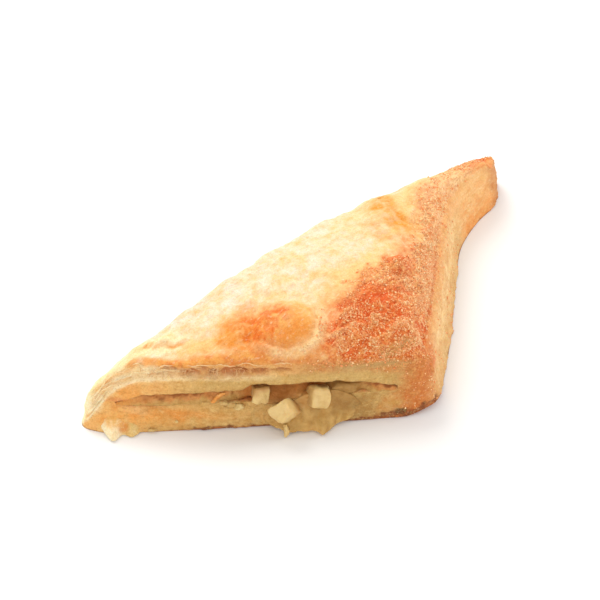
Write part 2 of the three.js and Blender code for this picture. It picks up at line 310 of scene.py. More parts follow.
def lay_wall():
    """For each fine step round the outline: where the wall stands, how it leans and which side it is."""
    foot = trace_outline()
    run = np.roll(foot, -5, axis=0) - np.roll(foot, 5, axis=0)
    run /= np.linalg.norm(run, axis=1)[:, None]
    out = np.column_stack([run[:, 1], -run[:, 0]])
    near = smoothstep(-out[:, 1], 0.2, 0.8)
    right = smoothstep(out[:, 0], 0.3, 0.9)
    fold = smoothstep(out[:, 1] * FOLD_DIRECTION[0] - out[:, 0] * FOLD_DIRECTION[1], 0.1, 0.7)
    share = near + right + fold + 0.003

    def by_side(at_near, at_right, at_fold):
        return (near * at_near + right * at_right + fold * at_fold) / share

    x, y = foot.T
    face = near * fading(y, 20, 60)
    fold_height = TIP_HEIGHT - 2 + TIP_HEIGHT * np.sin(np.pi * along_fold(x, y)) ** 0.8
    height = by_side(profile(x, NEAR_HEIGHT), profile(y, RIGHT_HEIGHT), fold_height)
    to_left, to_far, to_corner = (
        np.linalg.norm(foot - end, axis=1) for end in (LEFT_TIP, FAR_TIP, SQUARE_CORNER)
    )
    to_tip = np.minimum(to_left, to_far)
    tip = np.minimum(1.0, to_tip / TIP_LENGTH)
    lean = by_side(
        profile(x, NEAR_LEAN), RIGHT_LEAN * (0.25 + 0.75 * tip), FOLD_LEAN * (0.4 + 0.6 * tip)
    )
    rim = unlooped(foot - out * lean[:, None])
    rounded = by_side(
        profile(x, [(66, 2.5), (92, 7)]), profile(y, [(10, 8), (60, 7.5), (95, 5), (112, 2.5)]), 4.0
    )
    return {
        "foot_x": x,
        "foot_y": y,
        "rim_x": rim[:, 0],
        "rim_y": rim[:, 1],
        "out_x": out[:, 0],
        "out_y": out[:, 1],
        "height": height,
        "near": near,
        "face": face,
        "side": np.maximum(right, near - face),
        "fold": fold,
        "tip": tip,
        "shoulder": by_side(CROWN_SHOULDER, CROWN_SHOULDER, FOLD_SHOULDER),
        "lift": CORNER_LIFT * fading(to_corner, 3, 16),
        "round": np.maximum(rounded * smoothstep(to_tip, 3, 22), 2.4),
    }


def spread_columns(wall):
    """The wall again at COLUMNS places, closer together along the near cut face."""
    crowd = 1 + wall["near"] * fading(wall["foot_x"], 100, 125)
    reached = np.concatenate([[0], np.cumsum(crowd)])
    steps = np.arange(FINE + 1)
    places = np.interp(np.linspace(0, reached[-1], COLUMNS, endpoint=False), reached, steps)
    return {
        name: np.interp(places, steps, np.append(values, values[0])) for name, values in wall.items()
    }


def crown_height(x, y, wall):
    """The crown rises from all of the rim at once in one soft shoulder, up to a crest over the fold."""
    rim_x = wall["rim_x"]
    rim_y = wall["rim_y"]
    step = np.hypot(np.roll(rim_x, -1) - rim_x, np.roll(rim_y, -1) - rim_y)
    far = (x[:, None] - rim_x) ** 2 + (y[:, None] - rim_y) ** 2
    close = 1.0 / (far + 0.04) ** 2
    low = (close @ wall["height"]) / close.sum(axis=1)
    inside = ((close @ (step * wall["shoulder"] ** 3)) * 2 / math.pi) ** (-1 / 3)
    crest = TIP_HEIGHT + CREST_RISE * np.sin(np.pi * along_fold(x, y)) ** 0.75
    return low + (crest - low) * (1 - np.exp(-1.35 * inside)), inside


# ---- The top: its blisters, crust and browning ----

BLISTER = (72.6, 15.8)
LEFT_BLISTER = (55.0, 15.5)
ROUND_BUMP = (117.4, 43.0)

# Each swell of the crown: its middle, half its length and width, its turn in degrees, and its rise.
SWELLS = [
    (BLISTER, 12.5, 10.5, 4, 2.4), (LEFT_BLISTER, 6.5, 6.5, 15, 1.0), ((104, 26), 14, 9, 35, 1.3),
    (ROUND_BUMP, 5, 5, 0, 1.2), ((113, 72), 13, 7, 60, 2.2), ((139, 93), 10, 7, 50, 1.2),
    ((29, 17.5), 7, 4, 20, 1.6), ((97, 9), 9, 5, 10, 0.8), ((36, 34), 6, 5, 35, 1.2),
    ((52, 45), 5, 5, 35, 1.0), ((70, 57), 8, 6, 35, 1.3), ((90, 71), 6, 6, 35, 1.1),
    ((112, 83), 9, 9, 40, 1.7), ((122, 90), 5, 7, 40, -0.7), ((132, 99), 6, 6, 40, 1.0),
]
BLISTER_RIM = [(61, 10), (63.5, 7.6), (67.5, 5.8), (73, 5), (79, 6), (83.6, 9), (85.8, 13.5), (86.4, 20)]
BLISTER_TROUGH = [
    (61.6, 11.5), (64.5, 9), (68.5, 7.4), (73, 6.8), (78, 7.6), (82, 10.4), (84, 14.5), (84.4, 20)
]
SUGAR_RIDGE = [(83, 7), (86.5, 9.6), (90, 9.7), (94, 10.9), (97.8, 13.4)]
BLISTER_CREASE = [(61.2, 9.8), (61.6, 14), (62.2, 19), (63.6, 23)]
FAR_CREASE = [(115, 84), (117.5, 76), (120.5, 72), (124.8, 70.5)]
FLAKE_LINE = [(24, 17.6), (27.5, 15.2), (30.5, 15.8), (33.5, 14.6), (37.5, 15.6)]
CRUST_EDGE = [
    (0, 86), (5, 84), (10, 86), (18, 89.5), (25, 92), (32, 95.5), (38, 100), (44, 110), (50, 118),
    (57, 121), (65, 122), (72, 123), (80, 122), (88, 125), (95, 129), (105, 134), (130, 145),
]

# Spots of the top: each one's middle, half its length and width, its turn in degrees and its share.
BROWN_SPOTS = [
    ((107, 20), 17, 12, 10, 0.7),
    ((95, 17), 8, 5, 20, 0.45),
    ((107, 23), 10, 7, 15, 0.7),
    ((117, 29), 13, 8, 75, 0.8),
    ((120, 20), 7, 9, 0, 0.5),
    (ROUND_BUMP, 6, 6, 0, 0.85),
    ((123, 54), 5, 9, -20, 0.6),
    ((92, 6), 8, 2.6, 5, 0.9),
    ((92, 13.5), 6, 3, 30, 0.8),
    ((122, 12), 8, 8, 0, 0.4),
    ((131, 86), 5, 8, -10, 0.3),
    ((158, 122), 9, 5, 50, 0.4),
    ((110, 12), 12, 5, 0, 0.4),
]
PALE_SPOTS = [
    ((102, 35.5), 13, 5, 30, 0.6),
    ((113, 34), 8, 4, 10, 0.45),
    ((129, 64), 18, 5, 78, 0.75),
    ((123.5, 36), 17, 4.5, 80, 0.6),
    ((97, 26), 5, 4, 0, 0.3),
]
AMBER_SPOTS = [
    ((108.5, 63.7), 3, 2.5, 0, 0.5),
    ((113, 58), 4, 3, 0, 0.5),
    ((61, 26), 4, 3.4, 20, 0.7),
    ((56.5, 12), 7, 5, 10, 1.0),
]
GOLDEN_SPOTS = [((118.5, 70.5), 10, 6, -35, 1.0), ((116, 81), 3.5, 6, 0, 0.8), ((112, 77), 6, 4, 40, 0.5)]
CORNER_STRIPE = [(107, 3), (112.5, 5), (118, 7.8), (123, 11.5)]


def tip_facet(x, y):
    """The smooth facet that the far tip turns to the right."""
    edge = profile(y, [(94, 150), (97, 144.5), (100, 147), (110, 152.5), (118, 157), (128, 163)])
    return smoothstep(x - edge + 0.6 * rough_noise(x, y, 4, 65), -1, 1.2) * smoothstep(y, 92, 97)


def crusted(x, y):
    """Where the sugar has baked into a crust: over the square corner and along the right side."""
    edge = profile(y, CRUST_EDGE)
    edge = edge + 3.0 * rough_noise(x, y, 9, 61) + 3.0 * rough_noise(x, y, 2.4, 63, 2)
    return smoothstep(x, edge - 1.5, edge + 8) * (1 - tip_facet(x, y))


def swell_height(x, y):
    total = np.zeros(x.shape)
    for *swell, rise in SWELLS:
        total += rise * fading(reach_out(x, y, *swell), 0.2, 1.2)
    return total


def crust_ridges(x, y):
    """The ridges of the sugared crust, drawn out along the fold, from 0 to 1."""
    along = x * FOLD_DIRECTION[0] + y * FOLD_DIRECTION[1]
    across = y * FOLD_DIRECTION[0] - x * FOLD_DIRECTION[1]
    return wrinkles(0.42 * along, across, 2.8, 31)


def evened(x, y):
    """0 along the two lines to the far tip where the rings' steps crowd together, 1 away from them."""
    right = line_ridge(x, y, [tuple(CROWN_MIDDLE), (159, 114.6)], 2.2)
    left = line_ridge(x, y, [tuple(CROWN_MIDDLE), (152, 121)], 2.0)
    return 1 - np.maximum(right, left)


def crown_relief(x, y, inside):
    """The blisters, creases and crackle of the top, in mm."""
    wobble = rough_noise(x, y, 7, 11)
    rise = swell_height(x, y)
    crisp = smoothstep(0.75 * (x - BLISTER[0]) - 0.65 * (y - BLISTER[1]), -6, 3)
    edge = blend(0.6, 0.18, crisp)
    rise += 1.3 * patch(x + 0.8 * wobble, y + 0.6 * wobble, BLISTER, 11.3, 9.2, 4, edge)
    rise += 0.6 * patch(x, y, LEFT_BLISTER, 5, 5.5, 0, 0.4)
    rise += 1.3 * patch(x, y, ROUND_BUMP, 3.8, 3.8, 0, 0.35)
    rise += 0.9 * line_ridge(x, y + 0.4 * wobble, BLISTER_RIM, 1.0) * (0.4 + 0.6 * crisp)
    rise -= 0.7 * line_ridge(x, y + 0.4 * wobble, BLISTER_TROUGH, 0.8) * (0.3 + 0.7 * crisp)
    rise += 0.8 * line_ridge(x, y + 0.3 * wobble, SUGAR_RIDGE, 0.8)
    rise -= 0.8 * line_ridge(x, y, BLISTER_CREASE, 1.0)
    rise -= 1.1 * line_ridge(x, y, FAR_CREASE, 2.0)
    rise += 0.9 * line_ridge(x, y - 1.2, FLAKE_LINE, 1.4) - 0.4 * line_ridge(x, y + 0.6, FLAKE_LINE, 1.0)
    crusty = crusted(x, y)
    fine = crusty * (0.5 * rough_noise(x, y, 5, 21) + 1.6 * crust_ridges(x, y) - 0.5)
    fine += (1 - crusty) * (0.35 * rough_noise(x, y, 7, 41) + 0.5 * crust_ridges(x + 30, y))
    fine += 0.3 * rough_noise(x, y, 2.6, 55, 2)
    rise += 0.7 * rough_noise(x, y, 13, 51) + fine * evened(x, y)
    return rise * smoothstep(inside, -0.05, 0.3)


def crown_colour(x, y, inside):
    """How the top has browned, place by place, with painted highlights and painted shade on its sugared
    crust, and where it is thick with sugar or glazed.
    """
    big = rough_noise(x, y, 9, 201)
    mid = rough_noise(x, y, 3.6, 211)
    small = rough_noise(x, y, 1.5, 221, 2)
    ridge = crust_ridges(x, y)
    at = x + 1.5 * mid, y + 1.5 * big
    crust = crusted(x, y)
    facet = tip_facet(x, y)
    far = patch(x, y, (138, 92), 32, 13, 52, 0.5)
    side = patch(*at, (126.5, 54), 26, 7, 80, 0.5)
    heart = patch(*at, (107.5, 23), 5.5, 5, 10, 0.7) + patch(*at, (118.5, 43), 3, 3, 0, 0.7)
    halo = smoothstep(x - profile(y, CRUST_EDGE) + 2 * mid, -10, 1) * (1 - facet)
    tan = laid(
        mixed(SUGAR_TAN, AMBER, 0.75),
        (ORANGE_BROWN, 0.62 + 0.5 * mid + 0.3 * small),
        (srgb(255, 220, 166), 0.95 * side),
        (srgb(255, 214, 160), far),
    )
    colour = laid(
        CREAM,
        (PALE_GOLD, 0.25 + 0.4 * mid + 0.25 * small + 0.4 * smoothstep(x - 0.9 * y, 0, 45)),
        (PALE_GOLD, 0.8 * patch(*at, (112, 75), 16, 9, 55, 0.6)),
        (srgb(255, 228, 170), 0.8 * patch(*at, (10, 12), 17, 8, 35, 0.4)),
        (srgb(250, 204, 136), 0.7 * patch(*at, (98, 37), 12, 7, 35, 0.6)),
        (srgb(248, 192, 104), 0.75 * patch(*at, (43, 11), 11, 3.6, 0, 0.6)),
        (srgb(255, 232, 176), 0.7 * patch(*at, (28, 16), 9, 5, 20, 0.5)),
        (srgb(252, 206, 134), 0.75 * halo),
        (tan, crust),
    )
    colour = spotted(colour, ORANGE_BROWN, BROWN_SPOTS, at, 0.85 + 0.45 * small + 0.3 * mid)
    colour = spotted(colour, srgb(252, 200, 136), PALE_SPOTS, at, 0.9 + 0.5 * mid, 0.6)
    corner = mixed(srgb(214, 148, 84), ORANGE_BROWN, 0.5 + 0.5 * small)
    colour = mixed(colour, DEEP_BROWN, 0.35 * heart)
    colour = mixed(colour, corner, 0.5 * patch(*at, (119, 8), 10, 8, 0, 0.7))
    colour = spotted(colour, AMBER, AMBER_SPOTS, at, 0.8 + 0.5 * mid + 0.3 * small)
    colour = spotted(colour, srgb(240, 158, 56), GOLDEN_SPOTS, at, 0.85 + 0.5 * mid + 0.3 * small)

    blister = patch(x + 0.8 * mid, y + 0.8 * mid, BLISTER, 12, 9.8, 4)
    glow = patch(*at, (66.5, 16), 11.5, 8.5, 0, 0.5)
    dome = patch(*at, (77, 11), 7, 4, 20, 0.6)
    streak = patch(*at, (69, 24.5), 10, 3.4, 0, 0.8) * (0.7 + 0.8 * rough_noise(x, 0.3 * y, 1.6, 231, 2))
    wide = profile(x, [(0, 0.2), (30, 0.26), (44, 0.52), (90, 0.5)])
    strip = smoothstep(x + 2 * mid, 19, 28) * fading(x, 78, 94)
    strip = strip * fading(inside / wide, 0.25, 1) * fading(y, 12, 18)
    golden = 0.3 + 0.4 * smoothstep(x, 40, 66) + 0.6 * mid + 0.3 * small
    # pale is the cream of the blister's rim and the sugar ridge, with painted highlight where these ridges
    # catch the light.
    pale = line_ridge(x, y + 0.7, BLISTER_RIM, 1.8) * smoothstep(x, 64, 71)
    pale = np.clip(pale + line_ridge(x, y, SUGAR_RIDGE, 0.9), 0, 1) * (0.8 + 0.6 * small)
    flake = patch(x, y, (19, 9.8), 2.4, 1.5, 0, 0.6) + patch(x, y, (24, 8.9), 2.2, 1.5, 0, 0.6)
    flake = np.maximum(line_ridge(x, y + 0.4, FLAKE_LINE, 0.9) * (0.8 + 0.7 * small), flake)
    browned = smoothstep(y, 104, 116) * fading(inside, 0.08, 0.4)
    # Pale on the crust's ridge tops is painted highlight; deep brown in the hollows between the ridges is
    # painted shade.
    lit = smoothstep(ridge, 0.55, 0.8) * crust * (1 - np.clip(heart, 0, 1))
    hollow = smoothstep(-ridge, -0.4, -0.14) * crust * (1 - np.maximum(0.6 * far, 0.85 * side))
    colour = laid(
        colour,
        (mixed(srgb(244, 178, 84), PALE_GOLD, 0.2 + 0.5 * small), 0.9 * blister),
        (srgb(242, 162, 62), 0.75 * patch(*at, (58.5, 15.5), 9, 8, 0, 0.5)),
        (srgb(240, 162, 74), 0.6 * patch(*at, (61.5, 22), 6, 4.5, 0, 0.6)),
        (srgb(228, 114, 24), 0.95 * glow * (0.75 + 0.5 * mid + 0.5 * small)),
        (srgb(236, 146, 52), 0.8 * dome * blister),
        (PALE_GOLD, 0.5 * streak),
        (mixed(srgb(238, 166, 72), srgb(222, 124, 44), golden), 0.95 * strip),
        # Cream of the rim and ridge, partly painted highlight.
        (mixed(srgb(255, 232, 180), PALE_GOLD, 0.4 + 0.8 * small), 0.85 * pale),
        (srgb(240, 164, 84), 0.85 * flake),
        (mixed(srgb(246, 204, 142), SUGAR_TAN, 0.3 + 0.6 * mid + 0.9 * small), 0.95 * facet),
        (mixed(AMBER, ORANGE_BROWN, 0.3 + 0.5 * small), 0.6 * browned),
        # Painted highlight on the crust's ridges, then painted shade in its hollows.
        (mixed(srgb(254, 204, 134), srgb(255, 226, 176), side), (0.55 + 0.3 * side) * lit),
        (DEEP_BROWN, 0.6 * hollow),
        (srgb(204, 164, 104), 0.85 * line_ridge(x, y, CORNER_STRIPE, 1.4)),
    )
    sugar = crust * (0.4 + 0.7 * ridge + 0.3 * side) * (1 - 0.6 * np.clip(heart, 0, 1))
    sugar = sugar + 0.1 * (1 - crust)
    sugar = sugar * (1 - 0.9 * strip) * (1 - 0.8 * blister) * (1 - 0.6 * facet) * (1 - 0.3 * far)
    return colour, sugar + 0.35 * pale, np.maximum(0.8 * strip, 0.7 * blister)


# ---- The cut faces ----

# Where the band of parted leaves gapes: each cave's middle along the face and up it, and its half sides.
BAND_CAVES = [
    (32.1, 24.6, 2.2, 1.0), (39.7, 23.6, 2.8, 1.6), (43.2, 25.4, 1.8, 0.9),
    (47.0, 23.2, 1.6, 1.4), (53.8, 23.9, 4.6, 2.0), (63.3, 23.6, 3.4, 1.0),
    (70.5, 24.0, 3.0, 0.6),
]

# How high, along the near cut face, a dull line runs under the crust, and how high its base has burnt.
GREY_LINE = [(85, 22.8), (100, 23), (107, 23.9), (113, 24.9), (119, 25.4)]
BURNT_HEIGHT = [
    (30, 0.5), (38, 1.4), (54, 1.8), (62, 1.7), (66, 1.1), (90, 1.3), (98, 2.2), (112, 2.8), (120, 3.2),
    (127, 2.4),
]


def wall_relief(columns, up):
    """How far the leaves, lips and hollows of the cut faces stand out, in mm, and their masks."""
    x = columns["foot_x"]
    y = columns["foot_y"]
    height = columns["height"]
    z = up * height
    near = columns["face"]
    right = columns["side"]
    arc = x * near + y * (1 - near)
    wave = 0.014 * rough_noise(arc, z, 8, 71)
    thick = profile(x, THICK_LIP) + wave
    thin = profile(x, THIN_LIP) + wave
    skin = profile(x, SKIN_EDGE)

    left_part = near * fading(x, 70, 84)
    caves = sum(patch(arc, z, (a, b), long, high, 0, 0.55) for a, b, long, high in BAND_CAVES)
    band = smoothstep(up, thick + 0.01, thick + 0.04) * fading(up, skin - 0.04, skin + 0.01)
    across = (up - thick) / (skin - thick)
    bent = arc + 1.2 * rough_noise(arc, z, 3, 81)
    coarse = cell_walls(bent, 6.2 * across, 3.4, 1.7, 91)
    fine = cell_walls(bent + 9, 6.2 * across, 1.5, 1.1, 95)
    hollow = smoothstep(coarse, 0.06, 0.3) * (0.6 + 0.4 * smoothstep(fine, 0.05, 0.3))
    hollow = hollow * band * left_part
    hollow *= blend(0.3, 0.8, smoothstep(soft_noise(arc, z, 6, 101), 0.3, 0.65))
    torn = 0.55 + 0.9 * soft_noise(arc, z, 1.1, 103)
    hollow = np.clip(hollow * (1 - 0.6 * smoothstep(x, 24, 34)) + 1.1 * near * caves * torn, 0, 1.1)
    stripe = soft_noise(arc * 0.1 + 0.4 * soft_noise(arc, z, 2.5, 109), across * 4.6, 1.0, 111)
    leafy = near * fading(x, 24, 38) * band
    edges = leafy * smoothstep(stripe, 0.35, 0.6)
    hollow = np.maximum(hollow * smoothstep(x, 18, 32), 0.4 * (leafy - edges))
    lip = hump((up - thick) * height, 0, 0.75) * near * fading(x, 58, 74)
    thin_lip = hump((up - thin) * height, 0, 0.4) * near * fading(x, 34, 50)
    shelf = hump((up - thick) * height, 0, 0.9) * near
    shelf = shelf * smoothstep(x, 60, 74) * fading(x, 104, 116)
    leaves = rough_noise(arc * 0.12, z, 0.9, 121, 2)

    low = profile(x, LOWER_LIP)
    high = profile(x, UPPER_LIP)
    faced = near * fading(x, 98, 118)
    rolled = np.sin(np.pi * np.clip((z - high) / np.maximum(thick * height - high, 1), 0, 1)) ** 0.7
    lower = np.sin(np.pi * np.clip(z / low, 0, 1) ** 0.8) ** 0.7
    crease = hump(z, (low + high) / 2, 0.9) * smoothstep(x, 5, 11) * fading(x, 13, 17)
    ripple = rough_noise(0.35 * arc, z, 3.2, 125)

    stand = -1.7 * hollow + 0.7 * lip + 0.4 * thin_lip + 0.4 * shelf + 0.4 * edges
    ledge = 0.6 * near * patch(x, z, (19, 8.2), 5, 1.5, -8, 0.6)
    stand += ledge + 0.25 * right * rough_noise(arc, z, 1.9, 157, 2)
    stand += faced * (0.9 * rolled + 0.8 * lower - 0.9 * crease)
    stand += (near * 0.35 + 0.2 * right) * ripple + (0.12 * near + 0.06 * right) * leaves
    stand += (near + right) * 0.4 * hump(z, 0.7, 0.7) * (0.6 + 0.6 * rough_noise(arc, z, 4, 131))
    stand += 0.45 * rough_noise(arc, z, 13, 141) + 0.3 * rough_noise(arc, z, 4, 151)
    stand += 0.16 * rough_noise(arc, z, 1.6, 155, 2)
    stand += columns["fold"] * (0.9 * rough_noise(x, z, 11, 161) + 0.3 * rough_noise(x, z, 3.5, 171))
    stand *= smoothstep(up, -0.01, 0.02)
    masks = {
        "arc": arc,
        "hollow": hollow,
        "lip": np.clip(lip + 0.7 * thin_lip + 0.8 * edges, 0, 1),
        "band": band * left_part,
        "across": across,
        "ripple": ripple,
    }
    return stand, masks


def wall_colour(columns, up, masks):
    """How the cut faces have browned, with painted shade in their hollows and painted highlights on their
    lips, and where they are crusted.
    """
    x = columns["foot_x"]
    y = columns["foot_y"]
    near = columns["face"]
    right = columns["side"]
    z = up * columns["height"]
    mid = rough_noise(masks["arc"], z, 4, 301)
    small = rough_noise(masks["arc"], z, 1.6, 305)

    blotch = patch(x, z + 0.8 * mid, (30, 7.3), 15, 1.9, -3, 0.5) + patch(x, z, (122.5, 8), 7, 4.5, 0, 0.6)
    blotch = 0.75 * np.clip(blotch, 0, 1) * (0.8 + 0.4 * mid)
    soaked = smoothstep(x, 56, 62) * fading(x, 98, 110)
    low = laid(
        mixed(srgb(218, 182, 116), srgb(200, 154, 86), 0.4 + 0.7 * small),
        (srgb(208, 130, 56), 0.02 + 0.2 * mid + blotch),
        (mixed(srgb(214, 168, 100), srgb(200, 164, 102), 0.5 + 0.8 * small), soaked),
        (srgb(162, 122, 64), 0.75 * smoothstep(x + 2 * mid, 86, 90) * soaked),
        (srgb(206, 166, 86), 0.7 * patch(x, z, (113, 7.4), 6, 1.2, 8, 0.6)),
    )
    warm = patch(x, z, (20, 6), 26, 3.6, 0, 0.8) + patch(x, z, (11, 13), 12, 5, -15, 0.8)
    inner = laid(
        DOUGH,
        (AMBER, 0.25 + 0.3 * mid),
        (srgb(202, 164, 98), smoothstep(x + 5 * mid, 22, 46)),
        (DOUGH, (0.2 + 0.4 * masks["ripple"] + 0.2 * small) * (1 - 0.5 * smoothstep(x, 30, 50))),
        (low, fading(z, 9.5, 12.5) * smoothstep(x, 14, 26) * 0.95),
        (mixed(GOLD, AMBER, 0.5), 0.6 * warm * (0.8 + 0.5 * mid)),
        # Painted shade: a reddish-brown line along the crease where the slit closes at its left end.
        (srgb(214, 136, 84), 0.8 * patch(x, z + 0.5 * mid, (17, 10.9), 9, 1.3, -6, 0.7)),
        (srgb(240, 190, 128), 0.6 * patch(x, z, (19, 8.4), 5, 1.4, -8, 0.6)),
    )
    corner = smoothstep(x + 3 * mid - 0.35 * (z - 14), 106, 121)
    above = smoothstep(x, 66, 90) * smoothstep(masks["across"], -0.05, 0.4)
    crust = mixed(srgb(204, 152, 92), srgb(212, 118, 52), 0.4 + 0.5 * mid + 0.4 * small)
    crust = mixed(crust, srgb(206, 120, 54), 0.8 * corner)
    grey = hump(z - profile(x, GREY_LINE), 0, 1.3) * smoothstep(x, 84, 96) * fading(x, 119, 126)
    lit = hump(z - profile(x, [(58, 19.6), (93, 19.4), (107, 17.4)]), 0, 1.8) * smoothstep(x, 52, 66)
    fresh = fading(x, 22, 40)
    end = fading(x, 3, 8) * smoothstep(up, 0.35, 0.55)
    leaves = mixed(mixed(DOUGH, SLIT_BROWN, 0.45 + 0.5 * mid), srgb(255, 232, 182), fresh)
    # Painted shade for the hollows between the parted leaves, lighter at the fresh left end.
    hollow_shade = mixed(mixed(srgb(206, 136, 82), srgb(170, 98, 52), 0.4 + 0.6 * mid), srgb(238, 170, 98), fresh)
    near_colour = laid(
        inner,
        (crust, np.maximum(corner, 0.85 * above)),
        (srgb(192, 158, 102), 0.85 * grey),
        (srgb(212, 176, 110), 0.6 * lit * fading(x, 100, 110)),
        (leaves, 0.9 * masks["band"]),
        (srgb(255, 246, 210), 0.85 * end),
        # Painted shade in the leaves' hollows.
        (hollow_shade, masks["hollow"]),
        # The lips and leaf edges: their cream and a painted highlight along the raised ridges.
        (mixed(LIP_CREAM_AND_HIGHLIGHT, srgb(255, 240, 200), fresh), 0.85 * masks["lip"]),
    )

    facet = smoothstep(y, 90, 99)
    soft = smoothstep(up + 0.12 * mid, 0.62, 1.0)
    squared = fading(y + 2 * mid, 12, 24) * smoothstep(z + mid, 8, 15)
    right_colour = laid(
        mixed(srgb(232, 182, 122), srgb(248, 216, 158), 0.45 + 0.6 * mid + 0.7 * small),
        (KHAKI, (0.45 + 0.4 * small) * fading(z, 3, 12) * (1 - facet)),
        (mixed(srgb(240, 190, 128), SUGAR_TAN, 0.3 + 0.4 * mid + 0.5 * small), facet),
        (mixed(SUGAR_TAN, AMBER, 0.3 + 0.4 * small), soft * 0.75 * (1 - facet)),
        (AMBER, 0.5 * facet * fading(up + 0.2 * mid, 0.1, 0.4)),
        (srgb(200, 130, 74), 0.8 * smoothstep(y + 3 * mid, 109, 120)),
        (mixed(srgb(216, 144, 82), ORANGE_BROWN, 0.3 + 0.5 * small), 0.9 * squared),
    )
    fold_colour = laid(
        CREAM, (PALE_GOLD, 0.5 + 0.5 * mid), (srgb(255, 240, 196), fading(x, 8, 22))
    )
    share = near + right + columns["fold"] + 1e-6
    colour = (
        near_colour * (near / share)[..., None]
        + right_colour * (right / share)[..., None]
        + fold_colour * (columns["fold"] / share)[..., None]
    )
    base = fading(z / profile(x, BURNT_HEIGHT) + 0.35 * mid + 0.45 * small, 0.7, 1.2)
    base = base * smoothstep(x, 30, 42) * near + (1 - near) * 0.5 * fading(z, 0.2, 1.0)
    colour = laid(
        colour,
        (mixed(srgb(126, 70, 34), srgb(178, 106, 58), 0.35 + 0.8 * small), 0.95 * base),
        (srgb(84, 62, 30), 0.9 * (patch(x, z, (113.3, 3.1), 2.4, 1.3, 0, 0.35) * near)),
    )
    return colour, np.maximum(corner, above) * (1 - 0.8 * grey)


def shape_sheet():
    """Every ring of the folded sheet, from the middle of its base to the middle of its crown."""
    wall = lay_wall()
    columns = spread_columns(wall)
    foot, rim, out = (
        np.column_stack([columns[f"{name}_x"], columns[f"{name}_y"]]) for name in ("foot", "rim", "out")
    )
    radius = columns["round"]
    rim_noise = 0.5 * rough_noise(*rim.T, 6, 401) * (1 - 0.5 * columns["near"]) * columns["tip"]
    rings, colours, marks = [], [], []

    def keep(points, colour, leaf=0.0, sugar=0.0, gloss=0.0):
        rings.append(points)
        colours.append(colour)
        marks.append(np.column_stack([np.broadcast_to(part, COLUMNS) for part in (leaf, sugar, gloss)]))

    def turn_over(points, far):
        """Rounds the sheet over its rim, far mm from it."""
        inset = 0.29 * radius * np.clip(1 - far / radius, 0, 1) ** 2
        points[:, :2] -= out * inset[:, None]
        points[:, 2] += rim_noise * np.exp(-far / 3) - inset
        return points

    for share in BASE_ROWS:
        xy = CROWN_MIDDLE + (foot - CROWN_MIDDLE) * share
        z = columns["lift"] * smoothstep(share, 0.85, 1.0)
        shade = 0.2 + 0.3 * rough_noise(*xy.T, 6, 411)
        keep(np.column_stack([xy, z]), mixed(BASE_BROWN, ORANGE_BROWN, shade))

    top, sugar, gloss = crown_colour(*rim.T, np.zeros(COLUMNS))
    crowd = np.linspace(0, 1, WALL_ROWS + 1)
    reached = np.cumsum(1 + 1.2 * smoothstep(crowd, 0.62, 0.75))
    for up in (reached[1:] - reached[0]) / (reached[-1] - reached[0]):
        bulge = columns["fold"] * columns["tip"] * FOLD_BULGE * math.sin(math.pi * min(1, up * 1.05)) ** 0.8
        stand, masks = wall_relief(columns, up)
        stand *= 1 - 0.6 * smoothstep(up, 0.95, 1.0)
        xy = foot + (rim - foot) * up + out * (bulge + stand)[:, None]
        z = columns["lift"] + (columns["height"] - columns["lift"]) * up
        points = turn_over(np.column_stack([xy, z]), (1 - up) * columns["height"])
        colour, crust = wall_colour(columns, up, masks)
        fade = smoothstep(up + 0.02 * rough_noise(*rim.T, 3, 405), 0.9, 1.0)
        colour = mixed(colour, top, fade)
        leaf = (columns["face"] + 0.3 * columns["side"]) * (1 - 0.5 * masks["band"]) * (1 - 0.8 * crust)
        crusty = np.maximum(fade * sugar, (0.55 - 0.3 * (1 - up)) * crust * columns["face"])
        crusty = np.maximum(crusty, 0.25 * columns["side"] * fading(columns["foot_y"], 88, 98))
        keep(points, colour, leaf, crusty, gloss * fade)

    for k in range(1, CROWN_ROWS + 1):
        inward = (k / CROWN_ROWS) ** 1.12
        xy = rim + (CROWN_MIDDLE - rim) * inward
        z, inside = crown_height(*xy.T, wall)
        z = z + crown_relief(*xy.T, inside)
        colour, sugar, gloss = crown_colour(*xy.T, inside)
        points = turn_over(np.column_stack([xy, z]), inside * columns["shoulder"])
        keep(points, colour, 0.0, sugar, gloss)
    return np.array(rings), np.array(colours), np.array(marks)


# ---- Meshes ----


def linked(name, data):
    thing = bpy.data.objects.new(name, data)
    bpy.context.scene.collection.objects.link(thing)
    return thing


def new_piece(name, bm):
    mesh = bpy.data.meshes.new(name)
    bm.to_mesh(mesh)
    bm.free()
    mesh.shade_smooth()
    return linked(name, mesh)


def dress(piece, material):
    piece.data.materials.clear()
    piece.data.materials.append(material)


def discard(piece):
    gone = piece.data
    bpy.data.objects.remove(piece)
    bpy.data.meshes.remove(gone)


def read(parts, name, kind=float, width=1):
    """What every part of a mesh has under a name: one value, or a row of them."""
    values = np.empty(len(parts) * width, kind)
    parts.foreach_get(name, values)
    return values.reshape(-1, width) if width > 1 else values


def only(parts, kind):
    return [part for part in parts if isinstance(part, kind)]


def corners(piece):
    return read(piece.data.vertices, "co", width=3)


def place(piece, points):
    """Sets every vertex of a piece from points in plan mm."""
    piece.data.vertices.foreach_set("co", ((points - PLAN_MIDDLE) * MM).ravel())
    piece.data.update()


def in_plan(piece):
    return corners(piece) / MM + PLAN_MIDDLE


def paint(piece, colour, leaf=0.0, sugar=0.0, gloss=0.0):
    """Keeps every vertex's colour, and how leafy, sugary and glossy it is."""
    count = len(piece.data.vertices)
    kept = piece.data.attributes
    for name in ("bake", "leaf", "sugar", "gloss"):
        if name in kept:
            kept.remove(kept[name])
    colours = np.column_stack([np.broadcast_to(colour, (count, 3)), np.ones(count)])
    kept.new("bake", "FLOAT_COLOR", "POINT").data.foreach_set("color", colours.ravel())
    for name, values in (("leaf", leaf), ("sugar", sugar), ("gloss", gloss)):
        values = np.array(np.broadcast_to(values, count), float)
        kept.new(name, "FLOAT", "POINT").data.foreach_set("value", values)


